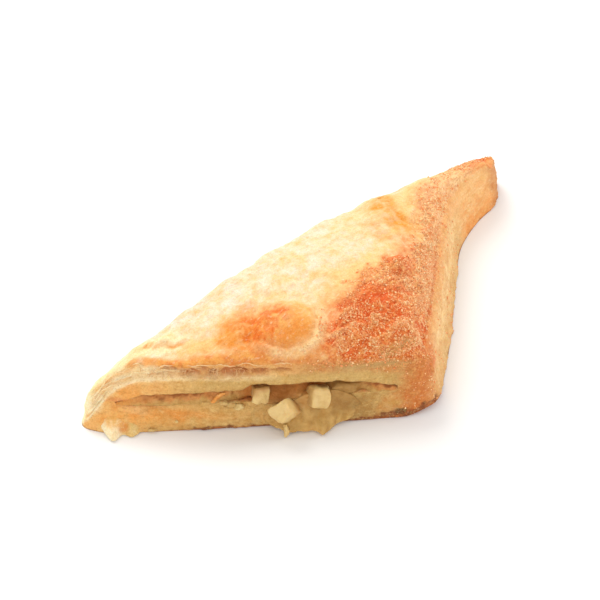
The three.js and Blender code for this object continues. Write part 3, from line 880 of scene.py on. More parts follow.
def heal(piece):
    """Gives the vertices that a cut has made the colours of those around them."""
    colour = read(piece.data.attributes["bake"].data, "color", width=4)
    ends = read(piece.data.edges, "vertices", int, 2)
    pairs = np.vstack([ends, ends[:, ::-1]])
    for _ in range(40):
        blank = colour[:, :3].min(axis=1) > 0.97
        if not blank.any():
            break
        some = pairs[blank[pairs[:, 0]] & ~blank[pairs[:, 1]]]
        total = np.zeros((len(colour), 5))
        np.add.at(total, some[:, 0], np.column_stack([colour[some[:, 1]], np.ones(len(some))]))
        found = total[:, 4] > 0
        colour[found] = total[found, :4] / total[found, 4:]
    piece.data.attributes["bake"].data.foreach_set("color", colour.ravel())


def draw_up(name, around, rings):
    """A closed drum drawn up ring by ring; each vertex's ring, from 0, and its step round it."""
    bm = bmesh.new()
    bmesh.ops.create_circle(bm, cap_ends=True, cap_tris=True, segments=around, radius=1.0)
    edge = [line for line in bm.edges if line.is_boundary]
    for _ in range(rings - 2):
        made = bmesh.ops.extrude_edge_only(bm, edges=edge)["geom"]
        bmesh.ops.translate(bm, verts=only(made, bmesh.types.BMVert), vec=(0, 0, 1))
        edge = [line for line in only(made, bmesh.types.BMEdge) if line.is_boundary]
    lid = bmesh.ops.contextual_create(bm, geom=edge)["faces"]
    bmesh.ops.poke(bm, faces=lid)
    bmesh.ops.recalc_face_normals(bm, faces=list(bm.faces))
    piece = new_piece(name, bm)
    co = corners(piece)
    middle = np.hypot(co[:, 0], co[:, 1]) < 0.5
    ring = np.rint(co[:, 2]).astype(int) + 1
    ring[middle] = np.where(co[middle, 2] > 0.5, rings, 0)
    turn = np.arctan2(co[:, 1], co[:, 0]) / (2 * math.pi) * around
    return piece, ring, np.rint(turn).astype(int) % around


def ball(name, around, rings):
    """A round body to be shaped."""
    bm = bmesh.new()
    bmesh.ops.create_uvsphere(bm, u_segments=around, v_segments=rings, radius=1.0)
    piece = new_piece(name, bm)
    return piece, corners(piece)


def lay_slab(name, left, right, front, back, steps, heights, layers=1):
    """A slab between a floor and a ceiling, each vertex's share of the way up, and which are in front."""
    bm = bmesh.new()
    bmesh.ops.create_grid(bm, x_segments=steps[0], y_segments=steps[1], size=0.5)
    lid = list(bm.faces)
    for layer in range(layers):
        lifted = bmesh.ops.extrude_face_region(bm, geom=lid, use_keep_orig=True)["geom"]
        if layer:
            bmesh.ops.delete(bm, geom=lid, context="FACES")
        lid = only(lifted, bmesh.types.BMFace)
        bmesh.ops.translate(bm, verts=only(lifted, bmesh.types.BMVert), vec=(0, 0, 1))
    bmesh.ops.recalc_face_normals(bm, faces=list(bm.faces))
    piece = new_piece(name, bm)
    co = corners(piece)
    x = blend(left, right, co[:, 0] + 0.5)
    y = blend(front(x), back(x), co[:, 1] + 0.5)
    low, high = heights(x, y)
    up = co[:, 2] / layers
    place(piece, np.column_stack([x, y, blend(low, high, up)]))
    return piece, up, co[:, 1] < -0.499


def combine(piece, tool, operation, keep_tool=False):
    """Cuts piece with tool, or joins them; its colours stay on what is left of it."""
    step = piece.modifiers.new(operation, "BOOLEAN")
    step.operation = operation
    step.solver = "MANIFOLD"
    step.object = tool
    bpy.context.view_layer.update()
    shown = piece.evaluated_get(bpy.context.evaluated_depsgraph_get())
    mesh = bpy.data.meshes.new_from_object(shown)
    piece.modifiers.clear()
    old = piece.data
    piece.data = mesh
    bpy.data.meshes.remove(old)
    mesh.name = piece.name
    if not keep_tool:
        discard(tool)


# ---- Materials ----


class Value:
    """A shader socket that adds, multiplies and subtracts as numbers do."""

    def __init__(self, recipe, socket):
        self.recipe = recipe
        self.socket = socket

    def work_out(self, operation, first, second):
        return self.recipe.add("ShaderNodeMath", {"operation": operation}, {0: first, 1: second})

    def __add__(self, other):
        return self.work_out("ADD", self, other)

    def __radd__(self, other):
        return self.work_out("ADD", other, self)

    def __sub__(self, other):
        return self.work_out("SUBTRACT", self, other)

    def __rsub__(self, other):
        return self.work_out("SUBTRACT", other, self)

    def __mul__(self, other):
        return self.work_out("MULTIPLY", self, other)

    def __rmul__(self, other):
        return self.work_out("MULTIPLY", other, self)


class Recipe:
    """A material and the nodes that make it."""

    def __init__(self, name):
        self.material = bpy.data.materials.new(name)
        self.material.use_nodes = True
        self.tree = self.material.node_tree
        self.shader = self.tree.nodes["Principled BSDF"]

    def add(self, kind, settings=None, inputs=None, output=0):
        node = self.tree.nodes.new(kind)
        for name, value in (settings or {}).items():
            setattr(node, name, value)
        for name, value in (inputs or {}).items():
            self.fill(node.inputs[name], value)
        return Value(self, node.outputs[output])

    def fill(self, socket, value):
        if isinstance(value, Value):
            self.tree.links.new(value.socket, socket)
        elif isinstance(value, (int, float)):
            socket.default_value = value
        else:
            parts = tuple(float(part) for part in value)
            socket.default_value = (*parts, 1.0) if socket.type == "RGBA" else parts

    def place(self, stretch=(1, 1, 1), turn=0.0):
        """Object coordinates in mm, turned about the upright by turn degrees and then times stretch."""
        at = self.add("ShaderNodeTexCoord", output=3)
        sizes = tuple(MM / part for part in stretch)
        inputs = {"Vector": at, "Scale": sizes, "Rotation": (0.0, 0.0, math.radians(turn))}
        return self.add("ShaderNodeMapping", {"vector_type": "TEXTURE"}, inputs)

    def noise(self, size, detail=3.0, rough=0.55, stretch=(1, 1, 1), turn=0.0):
        """Cloudy noise from 0 to 1 with swells about size mm across."""
        where = self.place(stretch, turn)
        inputs = {"Vector": where, "Scale": 1.0 / size, "Detail": detail, "Roughness": rough}
        return self.add("ShaderNodeTexNoise", inputs=inputs)

    def cells(self, size, output=0):
        inputs = {"Vector": self.place(), "Scale": 1.0 / size}
        return self.add("ShaderNodeTexVoronoi", {"feature": "F1"}, inputs, output)

    def between(self, value, low, high):
        """value as a share between low and high, eased."""
        inputs = {"Value": value, "From Min": low, "From Max": high}
        return self.add("ShaderNodeMapRange", {"interpolation_type": "SMOOTHSTEP"}, inputs)

    def mix(self, first, second, share, kind="MIX"):
        settings = {"data_type": "RGBA", "blend_type": kind}
        return self.add("ShaderNodeMix", settings, {0: share, 6: first, 7: second}, output=2)

    def laid(self, colour, *coats):
        for coat, share in coats:
            colour = self.mix(colour, coat, share)
        return colour

    def shaded(self, colour, shade, share):
        """A colour times a shade, or times less of it where share is high."""
        return self.mix(colour, self.mix(shade, (1, 1, 1), share), 1.0, "MULTIPLY")

    def attribute(self, name, output=2):
        return self.add("ShaderNodeAttribute", {"attribute_name": name}, output=output)

    def set(self, **values):
        for name, value in values.items():
            self.fill(self.shader.inputs[name.replace("_", " ")], value)

    def bump(self, height, distance):
        inputs = {"Height": height, "Distance": distance * MM}
        self.fill(self.shader.inputs["Normal"], self.add("ShaderNodeBump", inputs=inputs))

    def glow_within(self, weight, depth, radii):
        """Light that soaks in and comes out again nearby."""
        sockets = self.shader.inputs
        sockets["Subsurface Weight"].default_value = weight
        sockets["Subsurface Scale"].default_value = depth * MM
        sockets["Subsurface Radius"].default_value = radii


def baked_crust():
    recipe = Recipe("baked_crust")
    bake = recipe.attribute("bake", 0)
    leaf = recipe.attribute("leaf")
    sugar = recipe.attribute("sugar")
    gloss = recipe.attribute("gloss")
    grain = recipe.noise(0.55, 2.0)
    fleck = recipe.noise(1.3, 3.0, 0.6)
    cloud = recipe.noise(3.0, 4.0)
    brush = recipe.noise(0.9, 3.0, 0.6, (0.3, 1.0, 1.0), 37)
    layer = recipe.noise(0.9, 3.0, 0.6, (0.45, 0.45, 1.1))
    pebble = recipe.cells(0.6)
    tone = recipe.cells(0.6, 1)
    plain = 1 - sugar
    between = recipe.between
    colour = recipe.laid(
        bake,
        (srgb(248, 208, 130), between(fleck, 0.54, 0.7) * plain * 0.35),
        (srgb(255, 238, 200), between(brush, 0.54, 0.72) * plain * (1 - leaf) * 0.35),
        (srgb(255, 190, 114), between(tone, 0.62, 0.8) * sugar * 0.55),
        (srgb(192, 74, 22), between(tone, 0.46, 0.3) * sugar * 0.6),
        (srgb(176, 116, 56), between(layer, 0.48, 0.34) * leaf * 0.3),
        (srgb(244, 214, 150), between(layer, 0.54, 0.7) * leaf * 0.25),
    )
    colour = recipe.shaded(colour, (0.94, 0.87, 0.74), between(cloud, 0.3, 0.6))
    colour = recipe.shaded(colour, (0.9, 0.86, 0.8), between(grain, 0.35, 0.6))
    recipe.set(Base_Color=colour, Roughness=0.68 - 0.28 * gloss)
    recipe.shader.inputs["Specular IOR Level"].default_value = 0.25
    recipe.glow_within(0.12, 1.5, (1.0, 0.6, 0.3))
    bumps = grain * 0.5 + cloud * 0.5 + brush * (1 - leaf) * 0.5 + layer * leaf * 0.6
    recipe.bump(bumps + (1 - pebble) * sugar * 0.8, 0.55)
    return recipe.material


def moist_fruit():
    recipe = Recipe("moist_fruit")
    bake = recipe.attribute("bake", 0)
    cloud = recipe.noise(2.2, 4.0)
    fine = recipe.noise(0.7, 3.0)
    shade = recipe.mix((1.0, 1.0, 1.0), (0.8, 0.66, 0.46), recipe.between(cloud, 0.45, 0.75) * 0.6)
    recipe.set(Base_Color=recipe.mix(bake, shade, 1.0, "MULTIPLY"), Roughness=0.38 + 0.2 * fine)
    recipe.glow_within(0.35, 2.0, (1.0, 0.75, 0.4))
    recipe.bump(fine + cloud, 0.25)
    return recipe.material


def cooked_filling():
    recipe = Recipe("cooked_filling")
    bake = recipe.attribute("bake", 0)
    gloss = recipe.attribute("gloss")
    cloud = recipe.noise(2.6, 4.0)
    fine = recipe.noise(0.8, 3.0)
    colour = recipe.shaded(bake, (0.84, 0.76, 0.64), recipe.between(cloud, 0.35, 0.62))
    recipe.set(Base_Color=colour, Roughness=0.75 - 0.4 * gloss + 0.15 * fine)
    recipe.shader.inputs["Specular IOR Level"].default_value = 0.2
    recipe.glow_within(0.2, 2.0, (1.0, 0.7, 0.35))
    recipe.bump(fine * (1.6 - gloss) + 1.5 * cloud, 0.4)
    return recipe.material


def sugar_crystal():
    recipe = Recipe("sugar_crystal")
    recipe.set(Base_Color=recipe.attribute("bake", 0), Roughness=0.35)
    recipe.glow_within(0.3, 0.5, (1.0, 0.8, 0.6))
    return recipe.material


# ---- The camera, the light and the floor ----

CAMERA_TURN = -5.0
CAMERA_RISE = 41.0
CAMERA_FAR = 1.2121
CAMERA_TARGET = (81.5, 49, 15)


def aim_camera():
    camera = linked("camera", bpy.data.cameras.new("camera"))
    camera.data.lens = 200
    camera.data.sensor_width = 36
    camera.data.clip_end = 20
    turn = math.radians(CAMERA_TURN)
    rise = math.radians(CAMERA_RISE)
    back = Vector((math.sin(turn) * math.cos(rise), -math.cos(turn) * math.cos(rise), math.sin(rise)))
    target = Vector((np.array(CAMERA_TARGET) - PLAN_MIDDLE) * MM)
    camera.location = target + back * CAMERA_FAR
    camera.rotation_euler = back.to_track_quat("Z", "Y").to_euler()
    bpy.context.scene.camera = camera


def hang_light(name, at, size, power, colour=(1, 1, 1)):
    lamp = bpy.data.lights.new(name, "AREA")
    lamp.size = size
    lamp.energy = power
    lamp.color = colour
    light = linked(name, lamp)
    light.location = at
    light.rotation_euler = Vector(at).to_track_quat("Z", "Y").to_euler()


def lay_floor():
    bm = bmesh.new()
    bmesh.ops.create_grid(bm, x_segments=1, y_segments=1, size=3)
    floor = new_piece("floor", bm)
    recipe = Recipe("floor_paint")
    recipe.set(Base_Color=(0.9, 0.9, 0.9), Roughness=0.9)
    dress(floor, recipe.material)


def light_room():
    world = bpy.data.worlds.new("room")
    bpy.context.scene.world = world
    world.use_nodes = True
    backdrop = world.node_tree.nodes["Background"]
    backdrop.inputs["Color"].default_value = (1.0, 0.985, 0.96, 1)
    backdrop.inputs["Strength"].default_value = 0.84
    hang_light("key", (-0.45, 0.75, 1.0), 0.8, 11, (1.0, 0.97, 0.92))
    hang_light("side", (1.1, 0.1, 0.55), 0.6, 3.4)
    hang_light("front", (-0.25, -1.3, 0.5), 0.8, 3.2)


aim_camera()
lay_floor()
light_room()
bpy.context.scene.view_settings.view_transform = "Standard"

# ---- The folded sheet, its torn scrap and its pocket ----


def bake_sheet():
    rings, colours, marks = shape_sheet()
    piece, ring, step = draw_up("folded_sheet", COLUMNS, len(rings) - 1)
    place(piece, rings[ring, step])
    paint(piece, colours[ring, step], *marks[ring, step].T)
    return piece


SCRAP_HEIGHT = 6.8
POCKET_BELLY = 11.5


def tip_scrap():
    """A torn flap of the lower sheet hangs from the left tip in two lobes."""
    piece, p = ball("tip_scrap", 120, 60)
    up = 0.5 + 0.5 * p[:, 2]
    wide = np.sign(p[:, 0]) * np.abs(p[:, 0]) ** 0.8
    x = blend(15.0 + 9.0 * wide, 12.5 + 5.0 * wide, smoothstep(up, 0, 0.9))
    lobes = hump(x, 10.4, 3.1) + 0.62 * hump(x, 17.4, 3.0) + 0.25 * hump(x, 22, 3)
    z = SCRAP_HEIGHT * up**1.2
    wall = 1.0 + 0.41 * z
    front = wall - 0.4 - 7.8 * lobes * np.clip(1 - z / SCRAP_HEIGHT, 0, 1) ** 1.2
    front += 0.3 * rough_noise(x, z, 2.2, 601)
    y = blend(front, wall + 2, 0.5 + 0.5 * np.sign(p[:, 1]) * np.abs(p[:, 1]) ** 0.8)
    place(piece, np.column_stack([x, y, z]))
    mid = rough_noise(x, z, 2.4, 611)
    small = rough_noise(x, z, 0.9, 615, 2)
    colour = laid(
        srgb(252, 236, 198),
        (srgb(228, 194, 124), smoothstep(x + mid, 12.5, 15.5) + 0.25 * small),
        (mixed(GOLD, KHAKI, 0.6), 0.7 * smoothstep(x + mid, 18, 21)),
        (srgb(222, 140, 58), 0.8 * patch(x, z, (14.6, 3.2), 1.8, 2.0, 0, 0.5)),
        (mixed(DOUGH, GOLD, 0.6), smoothstep(z + 1.2 * mid, 2.8, 5.6)),
    )
    paint(piece, colour)
    return piece


def pocket_depth(x):
    return 0.76 * x + 1


def pocket_heights(x, deep):
    """The floor and ceiling of the pocket, with deep from 0 at the mouth to 1 at the back."""
    across = np.clip((x - MOUTH_LEFT) / (MOUTH_RIGHT - MOUTH_LEFT), 0, 1)
    belly = POCKET_BELLY * np.sin(np.pi * across) * np.sin(np.pi * np.clip(deep, 0, 1)) ** 0.7
    low = profile(x, LOWER_LIP)
    high = profile(x, UPPER_LIP)
    gape = (high - low + belly) * (1 - 0.9 * deep**4)
    middle = (low + high) / 2
    return middle - gape * (0.5 - 0.15 * deep), middle + gape * (0.5 + 0.15 * deep)


def pocket_walls(x, y):
    """The pocket as torn pastry has it, ragged at the mouth."""
    low, high = pocket_heights(x, np.clip(y / pocket_depth(x), 0, 1))
    ragged = fading(y, 3, 9)
    tight = hump(x, 32, 20) * ragged
    low = low + 0.35 * ragged * rough_noise(x, y, 5, 501) + 1.1 * tight
    rough = 0.45 * rough_noise(x, y, 3.4, 511) + 0.3 * rough_noise(x, y, 1.5, 515, 2)
    high = high + ragged * rough - 0.6 * tight
    return low, np.maximum(high, low + 0.4)


def pocket_tool():
    piece, _, _ = lay_slab(
        "pocket", MOUTH_LEFT, MOUTH_RIGHT, lambda x: -12 + 0 * x, pocket_depth, (160, 18), pocket_walls
    )
    x, y, z = in_plan(piece).T
    colour = laid(
        SLIT_BROWN,
        (CAVE_BROWN, smoothstep(y, 3, 8)),
        (KHAKI, fading(y + 1.5 * rough_noise(x, z, 2, 523), 1, 3.5)),
        (DOUGH, 0.15 + 0.3 * rough_noise(x, y, 4, 521)),
    )
    paint(piece, colour)
    return piece


folded_sheet = bake_sheet()
combine(folded_sheet, tip_scrap(), "UNION")
combine(folded_sheet, pocket_tool(), "DIFFERENCE")
heal(folded_sheet)
dress(folded_sheet, baked_crust())

# ---- The filling and the dice of fruit ----

FILLING_SUNK = [
    (44, 0), (52, 0.6), (57, 2.4), (62, 5), (64.5, 7.2), (72, 7.2), (76, 5), (86, 5), (91, 1.4), (100, 0.8),
    (106, 0),
]
# How far behind the cut face the torn crumb stands, left of the fruit.
CRUMB_BACK = [
    (12, -0.5), (24, -0.1), (40, 0.3), (50, 1.2), (57, 3.2), (62, 4.5), (98, 3), (104, 1), (112, 0)
]
CLEARANCE = 0.35
RUN_LEFT = 63.0
RUN_RIGHT = 99.0
RUN_MIDDLE = 81.5
RUN_HALF = 17.5
OVERFLOW_REACH = [
    (63, 0.6), (64.6, 2.6), (68, 5), (72, 7), (77, 6.9), (81, 5.8), (83, 7), (84.5, 9.6),
    (86, 8.6), (87.5, 7), (90, 3.8), (94, 2.6), (99, 0.8),
]
OVERFLOW_TOP = [(65, 9.2), (72, 9.4), (76, 11.8), (79, 13.6), (85, 14.2), (90, 16), (98, 15.4)]


def filling_heights(x, y):
    """Left and right of the fruit the torn crumb fills the mouth; between, the filling has sunk."""
    deep = np.clip(y / pocket_depth(x), 0, 1)
    floor, ceiling = pocket_heights(x, deep)
    low, high = pocket_walls(x, y)
    loose = smoothstep(x, 56, 62) * fading(x, 98, 104)
    sunk = profile(x, FILLING_SUNK) * fading(deep, 0.12, 0.34)
    bottom = blend(low + 0.03, floor + CLEARANCE, loose)
    lumps = 0.5 * rough_noise(x, y, 5, 701)
    top = blend(high - 0.03, ceiling - CLEARANCE - sunk - 0.5 + lumps, loose)
    return bottom, np.maximum(bottom + 0.3, top)


def filling_front(x):
    out = smoothstep(x, RUN_LEFT - 4, RUN_LEFT + 3)
    out = out * fading(x, RUN_RIGHT - 4, RUN_RIGHT + 2)
    face = profile(x, [(12, 5.0), (22, 4.2), (34, 2.4), (42, 1.7), (60, 0.8), (112, 0.6)])
    back = face + profile(x, CRUMB_BACK) + 0.35 * rough_noise(x, 0 * x, 4, 711)
    return blend(back, 0.6, out)


def overflow():
    """What has run out over the lower sheet, thin at its edges, with two drips on the tray."""
    piece, p = ball("overflow", 160, 70)
    x = RUN_MIDDLE + RUN_HALF * p[:, 0]
    z = blend(0.2, profile(x, OVERFLOW_TOP), (0.5 + 0.5 * p[:, 2]) ** 1.3)
    reach = profile(x, OVERFLOW_REACH)
    reach = blend(reach, 0.4 + 0.12 * reach, smoothstep(z, 1, 11)) * (1 + 0.12 * rough_noise(x, z, 5, 721))
    reach += 0.3 * rough_noise(x, z, 1.6, 723)
    front = np.clip(-p[:, 1], 0, 1) ** blend(0.35, 1.2, smoothstep(z, 3, 8))
    y = np.where(p[:, 1] < 0, -reach * front, 5 * np.clip(p[:, 1], 0, 1) ** 0.6)
    place(piece, np.column_stack([x, y, z]))
    return piece


def lay_filling():
    ends = MOUTH_LEFT + 0.5, MOUTH_RIGHT - 0.5
    sides = filling_front, lambda x: 0.9 * pocket_depth(x)
    piece, up, front = lay_slab("cooked_filling", *ends, *sides, (200, 40), filling_heights, 6)
    x, y, z = in_plan(piece).T
    torn = front * (1 - smoothstep(x, 55, 60) * fading(x, 98, 104))
    slope = 0.5 * up - profile(x, [(15, 0.8), (30, 1.1), (50, 1.6), (60, 1)]) * (1 - up) ** 1.5
    y = y + torn * (slope + 0.7 * rough_noise(x, z, 2.6, 725) * np.sin(math.pi * up))
    place(piece, np.column_stack([x, y, z]))
    run = overflow()
    combine(run, folded_sheet, "DIFFERENCE", keep_tool=True)
    combine(piece, run, "UNION")
    x, y, z = in_plan(piece).T
    mid = rough_noise(x, z, 4, 731)
    small = rough_noise(x, z, 1.5, 735, 2)
    edge = fading(-y, 0.3, 2.2) * smoothstep(z, 1.5, 4)
    inside = smoothstep(y, -0.5, 3) * (1 - smoothstep(x, 86, 91) * fading(x, 97, 101))
    low, high = pocket_walls(x, y)
    share = (z - low) / np.maximum(high - low, 0.4)
    torn = 1 - smoothstep(x, 54, 60) * fading(x, 98, 104)
    # The torn crumb is khaki at its foot and browner up it, partly painted shade of the slit; the dark
    # brown near the roof of the slit is painted shadow.
    crumb = laid(
        srgb(206, 164, 98),
        (srgb(212, 146, 84), smoothstep(share + 0.3 * mid, 0.1, 0.5)),
        (mixed(DOUGH, AMBER, 0.5), fading(x, 14, 24)),
        # Painted shadow under the roof of the slit.
        (srgb(156, 94, 48), smoothstep(share + 0.35 * small, 0.5, 0.85) * smoothstep(x, 16, 30)),
    )
    colour = laid(
        mixed(srgb(184, 144, 80), srgb(206, 166, 98), 0.4 + 0.5 * mid + 0.5 * small),
        (mixed(KHAKI, srgb(196, 140, 76), 0.5 + 0.5 * small), 0.7 * edge),
        (CAVE_BROWN, 0.85 * inside),
        (srgb(222, 178, 108), fading(z, 0.5, 4) * (0.5 + 0.5 * mid)),
        (srgb(164, 124, 66), 0.75 * smoothstep(x + 2 * mid, 86, 90) * smoothstep(z, 4, 7)),
        (crumb, torn),
    )
    paint(piece, colour, gloss=1 - torn)
    return piece


# Each die: its middle, its sides, its turns in degrees and which way its browned side faces; on the left
# die that browner top is glaze and also painted shade under the upper lip.
DICE = {
    "left": ((63.2, 1.6, 13.8), (6.2, 5.7, 6.4), (-8, 4, 6), (-0.2, 0, 1)),
    "right": ((83.5, 0.1, 12.1), (7.2, 8.0, 8.2), (-22, 8, 14), (-1, 0.3, 0.3)),
    "front": ((71.8, -4.2, 9.9), (9.9, 7.5, 6.5), (-58, -28, 57), (1, 0.3, -0.1)),
}


def cut_die(name, middle, sides, turns, browned, seed):
    """A knife-cut cube of fruit, its corners softened by cooking and its faces uneven."""
    bm = bmesh.new()
    bmesh.ops.create_cube(bm, size=1.0)
    bmesh.ops.bevel(
        bm, geom=list(bm.edges), offset=0.1, segments=4, affect="EDGES", profile=0.5, material=-1
    )
    long_edges = [edge for edge in bm.edges if edge.calc_length() > 0.3]
    bmesh.ops.subdivide_edges(bm, edges=long_edges, cuts=6, use_grid_fill=True)
    bmesh.ops.recalc_face_normals(bm, faces=list(bm.faces))
    piece = new_piece(name, bm)
    p = corners(piece)
    far = np.linalg.norm(p, axis=1)[:, None]
    p = blend(p, 0.6 * p / far, 0.42 * smoothstep(far, 0.45, 0.87))
    lumps = 0.2 * rough_noise(p[:, 0] * 7 + seed, p[:, 1] * 7 + p[:, 2] * 5, 4, seed)
    p = p * (1 + lumps)[:, None] * np.array(sides)
    turned = np.array(Euler([math.radians(angle) for angle in turns], "ZYX").to_matrix())
    p = p @ turned.T
    place(piece, p + np.array(middle))
    # The side toward browned is painted browner: glaze, and on the left die's top also painted shade under
    # the lip.
    toward = p @ (np.array(browned) / np.linalg.norm(browned)) / np.mean(sides)
    share = smoothstep(toward + 0.1 * rough_noise(p[:, 0], p[:, 1] + p[:, 2], 2, seed + 5), 0.1, 0.6)
    uneven = 0.5 + 0.6 * rough_noise(*p[:, :2].T, 3, seed + 7)
    pale = mixed(srgb(226, 196, 132), srgb(214, 178, 112), uneven)
    paint(piece, mixed(pale, srgb(186, 134, 70), 0.8 * share))
    return piece


cooked = lay_filling()
dress(cooked, cooked_filling())
fruit = moist_fruit()
dice = []
for count, (where, shape) in enumerate(DICE.items()):
    die = cut_die(f"fruit_die_{where}", *shape, 801 + 13 * count)
    dress(die, fruit)
    dice.append((die, f"fruit_dice_{where}", "dice"))

# ---- Threads of the torn leaves, and crumbs ----

STRANDS = 64


def near_face(x, z):
    """How far forward the sheet reaches by a place on its near cut face."""
    p = in_plan(folded_sheet)
    p = p[(p[:, 1] < 12) & (p[:, 0] < 82) & (p[:, 2] > 3)]
    front = np.empty(x.shape)
    for k in range(x.size):
        close = np.hypot(p[:, 0] - x[k], p[:, 2] - z[k]) < 1.3
        front[k] = p[close, 1].min() if close.any() else 2.0
    return front


def strand_paths(rng):
    """Along the parted leaves and across them: where each strand runs, how thick it is and how pale."""
    t = np.linspace(0, 1, 11)
    paths = []
    for share, first, last in ((0.3, 2, 34), (0.62, 3, 40), (0.96, 12, 76)):
        x0 = first + 3 * rng.random()
        while x0 < last:
            x = x0 + rng.uniform(4, 11) * t
            x = x[x < last + 2]
            if len(x) > 3:
                x = np.interp(t, np.linspace(0, 1, len(x)), x)
                up = profile(x, THICK_LIP) * (1 - share) + profile(x, SKIN_EDGE) * share
                z = up * profile(x, NEAR_HEIGHT) + 0.7 * rough_noise(x, 0 * x + 9 * share, 2.6, 951)
                paths.append((x, z, rng.uniform(0.14, 0.26), 1.0))
            x0 = x[-1] + rng.uniform(-1, 5)
    for _ in range(STRANDS):
        x0 = rng.choice([rng.uniform(6, 62), rng.normal(44, 9)])
        x0 = float(np.clip(x0, 8, 72))
        run = rng.normal(0, 1.6)
        x = x0 + run * t + 0.9 * np.sin(math.pi * t) * rng.normal()
        low, high = sorted(rng.random(2))
        up = profile(x, THICK_LIP) * (1 - low) + profile(x, SKIN_EDGE) * low
        z = up * profile(x, NEAR_HEIGHT) + (high - low) * 4.5 * t
        paths.append((x, z, rng.uniform(0.09, 0.17), rng.random()))
    sliver = blend(45.6, 51, t), blend(11.6, 15.6, t) - 0.3 * np.sin(math.pi * t)
    paths.append((*sliver, 0.8, -1.0))
    return paths


def join_copies(name, shapes, template):
    """One mesh of many copies of a template, each with its own points."""
    faces = [np.array(face.vertices) for face in template.data.polygons]
    count = len(template.data.vertices)
    mesh = bpy.data.meshes.new(name)
    copied = [(face + count * n).tolist() for n in range(len(shapes)) for face in faces]
    mesh.from_pydata(np.vstack(shapes), [], copied)
    mesh.update()
    mesh.shade_smooth()
    discard(template)
    return linked(name, mesh)


def stretch_strands():
    rng = np.random.default_rng(941)
    template, ring, step = draw_up("strand", 5, 10)
    around = 2 * math.pi * step / 5
    shapes, colours = [], []
    for x, z, thick, pale in strand_paths(rng):
        thick = thick * rng.uniform(0.8, 1.7)
        y = near_face(x, z)
        y = np.convolve(np.pad(y, 1, "edge"), [0.25, 0.5, 0.25], "valid") - 0.1
        r = thick * np.sin(math.pi * np.clip(ring / 10, 0.0, 1)) ** 0.5
        side = r * np.cos(around)
        tilt = np.gradient(z) / np.maximum(np.hypot(np.gradient(x), np.gradient(z)), 1e-3)
        lean = tilt[ring]
        upright = np.sqrt(1 - lean**2)
        points = np.column_stack(
            [x[ring] - side * lean, y[ring] + 0.7 * r * np.sin(around), z[ring] + side * upright]
        )
        shapes.append((points - PLAN_MIDDLE) * MM)
        tone = mixed(srgb(228, 172, 112), srgb(252, 228, 182), 0.35 + 0.55 * pale - 0.009 * x.mean())
        colours.append(np.broadcast_to(srgb(240, 164, 84) if pale < 0 else tone, (len(ring), 3)))
    piece = join_copies("leaf_strands", shapes, template)
    paint(piece, np.vstack(colours), leaf=0.3)
    dress(piece, folded_sheet.data.materials[0])
    return piece


# Each crumb: its middle and its sides, then how pale it is.
CRUMBS = [
    ((50.4, 0.5, 11.2), (3.0, 1.8, 1.8), 0.8),
    ((53.0, 0.2, 10.8), (3.4, 1.8, 1.6), 0.6),
    ((55.6, 0.0, 9.7), (2.8, 1.8, 2.2), 1.0),
    ((51.8, 0.2, 9.7), (2.4, 1.3, 1.3), 0.1),
    ((71.6, -6.9, 3.2), (1.9, 1.8, 4.6), 0.8),
    ((24.6, -0.9, 1.4), (2.4, 1.0, 1.0), 0.9),
    ((33.4, -0.6, 4.6), (1.0, 0.8, 0.9), 0.9),
]


def drop_crumbs():
    bm = bmesh.new()
    bmesh.ops.create_icosphere(bm, subdivisions=3, radius=0.6)
    template = new_piece("crumb", bm)
    p = corners(template)
    shapes, colours = [], []
    for n, (middle, sides, pale) in enumerate(CRUMBS):
        lumps = 1 + 0.45 * rough_noise(2 * p[:, 0] + 3 * n, 2 * p[:, 1] + 2 * p[:, 2], 1.0, 961 + n)
        shapes.append((p * lumps[:, None] * np.array(sides) + np.array(middle) - PLAN_MIDDLE) * MM)
        tone = mixed(srgb(200, 158, 92), srgb(226, 196, 134), pale)
        colours.append(np.broadcast_to(tone, (len(p), 3)))
    piece = join_copies("crumbs", shapes, template)
    paint(piece, np.vstack(colours), gloss=0.6)
    dress(piece, cooked.data.materials[0])
    return piece


leaf_strands = stretch_strands()
crumbs = drop_crumbs()

# ---- Sugar ----

GRAINS = 9000


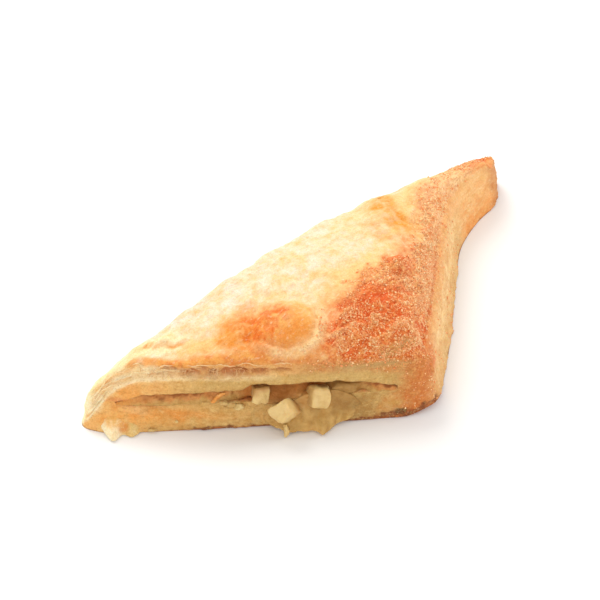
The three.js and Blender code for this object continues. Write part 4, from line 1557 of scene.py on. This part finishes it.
def scatter_sugar():
    """Grains of sugar, pressed into the sheet where its crust is thickest."""
    rng = np.random.default_rng(901)
    mesh = folded_sheet.data
    centre = read(mesh.polygons, "center", width=3)
    normal = read(mesh.polygons, "normal", width=3)
    area = read(mesh.polygons, "area")
    first = read(mesh.polygons, "loop_start", int)
    loops = read(mesh.loops, "vertex_index", int)
    sugar = read(mesh.attributes["sugar"].data, "value")
    x, y, _ = (centre / MM + PLAN_MIDDLE).T
    clumped = blend(0.35, 1.6, smoothstep(rough_noise(x, y, 3, 911), -0.4, 0.6))
    weight = area * np.clip(sugar[loops[first]] - 0.14, 0, 1) ** 1.4 * clumped * (normal[:, 2] > 0.25)
    chosen = rng.choice(len(area), GRAINS, p=weight / weight.sum())
    return centre[chosen], normal[chosen], np.sqrt(area[chosen]), rng


def press_grains():
    at, normal, room, rng = scatter_sugar()
    bm = bmesh.new()
    bmesh.ops.create_cube(bm, size=1.0)
    one = np.array([v.co for v in bm.verts])
    faces = np.array([[v.index for v in face.verts] for face in bm.faces])
    bm.free()
    count = len(at)
    size = MM * (0.2 + 0.3 * rng.random(count) ** 2.2)
    shape = one[None] * (size[:, None] * rng.uniform(0.7, 1.3, (count, 3)))[:, None, :]
    axis = rng.normal(size=(count, 3))
    axis /= np.linalg.norm(axis, axis=1)[:, None]
    angle = rng.uniform(0, math.pi, count)[:, None, None]
    side = np.cross(axis[:, None, :], shape)
    along = (axis[:, None, :] * shape).sum(axis=2, keepdims=True) * axis[:, None, :]
    shape = shape * np.cos(angle) + side * np.sin(angle) + along * (1 - np.cos(angle))
    drift = np.cross(normal, rng.normal(size=(count, 3))) * (0.5 * room)[:, None]
    points = shape + (at + drift + normal * (0.08 * size)[:, None])[:, None, :]
    mesh = bpy.data.meshes.new("sugar_grains")
    stacked = (faces[None] + 8 * np.arange(count)[:, None, None]).reshape(-1, 4)
    mesh.from_pydata(points.reshape(-1, 3), [], stacked.tolist())
    piece = linked("sugar_grains", mesh)
    tone = np.repeat(rng.random(count), 8)
    paint(piece, mixed(srgb(236, 140, 70), srgb(255, 220, 164), tone**1.5))
    dress(piece, sugar_crystal())
    return piece


sugar_grains = press_grains()

# ---- What rides on what ----

for piece, node, finish in (
    (folded_sheet, "pastry_sheet", "pastry"),
    (cooked, "fruit_filling", "filling"),
    *dice,
    (leaf_strands, None, "pastry"),
    (crumbs, None, "filling"),
    (sugar_grains, None, "pastry"),
):
    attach(piece, "root")
    if node:
        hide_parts(node)
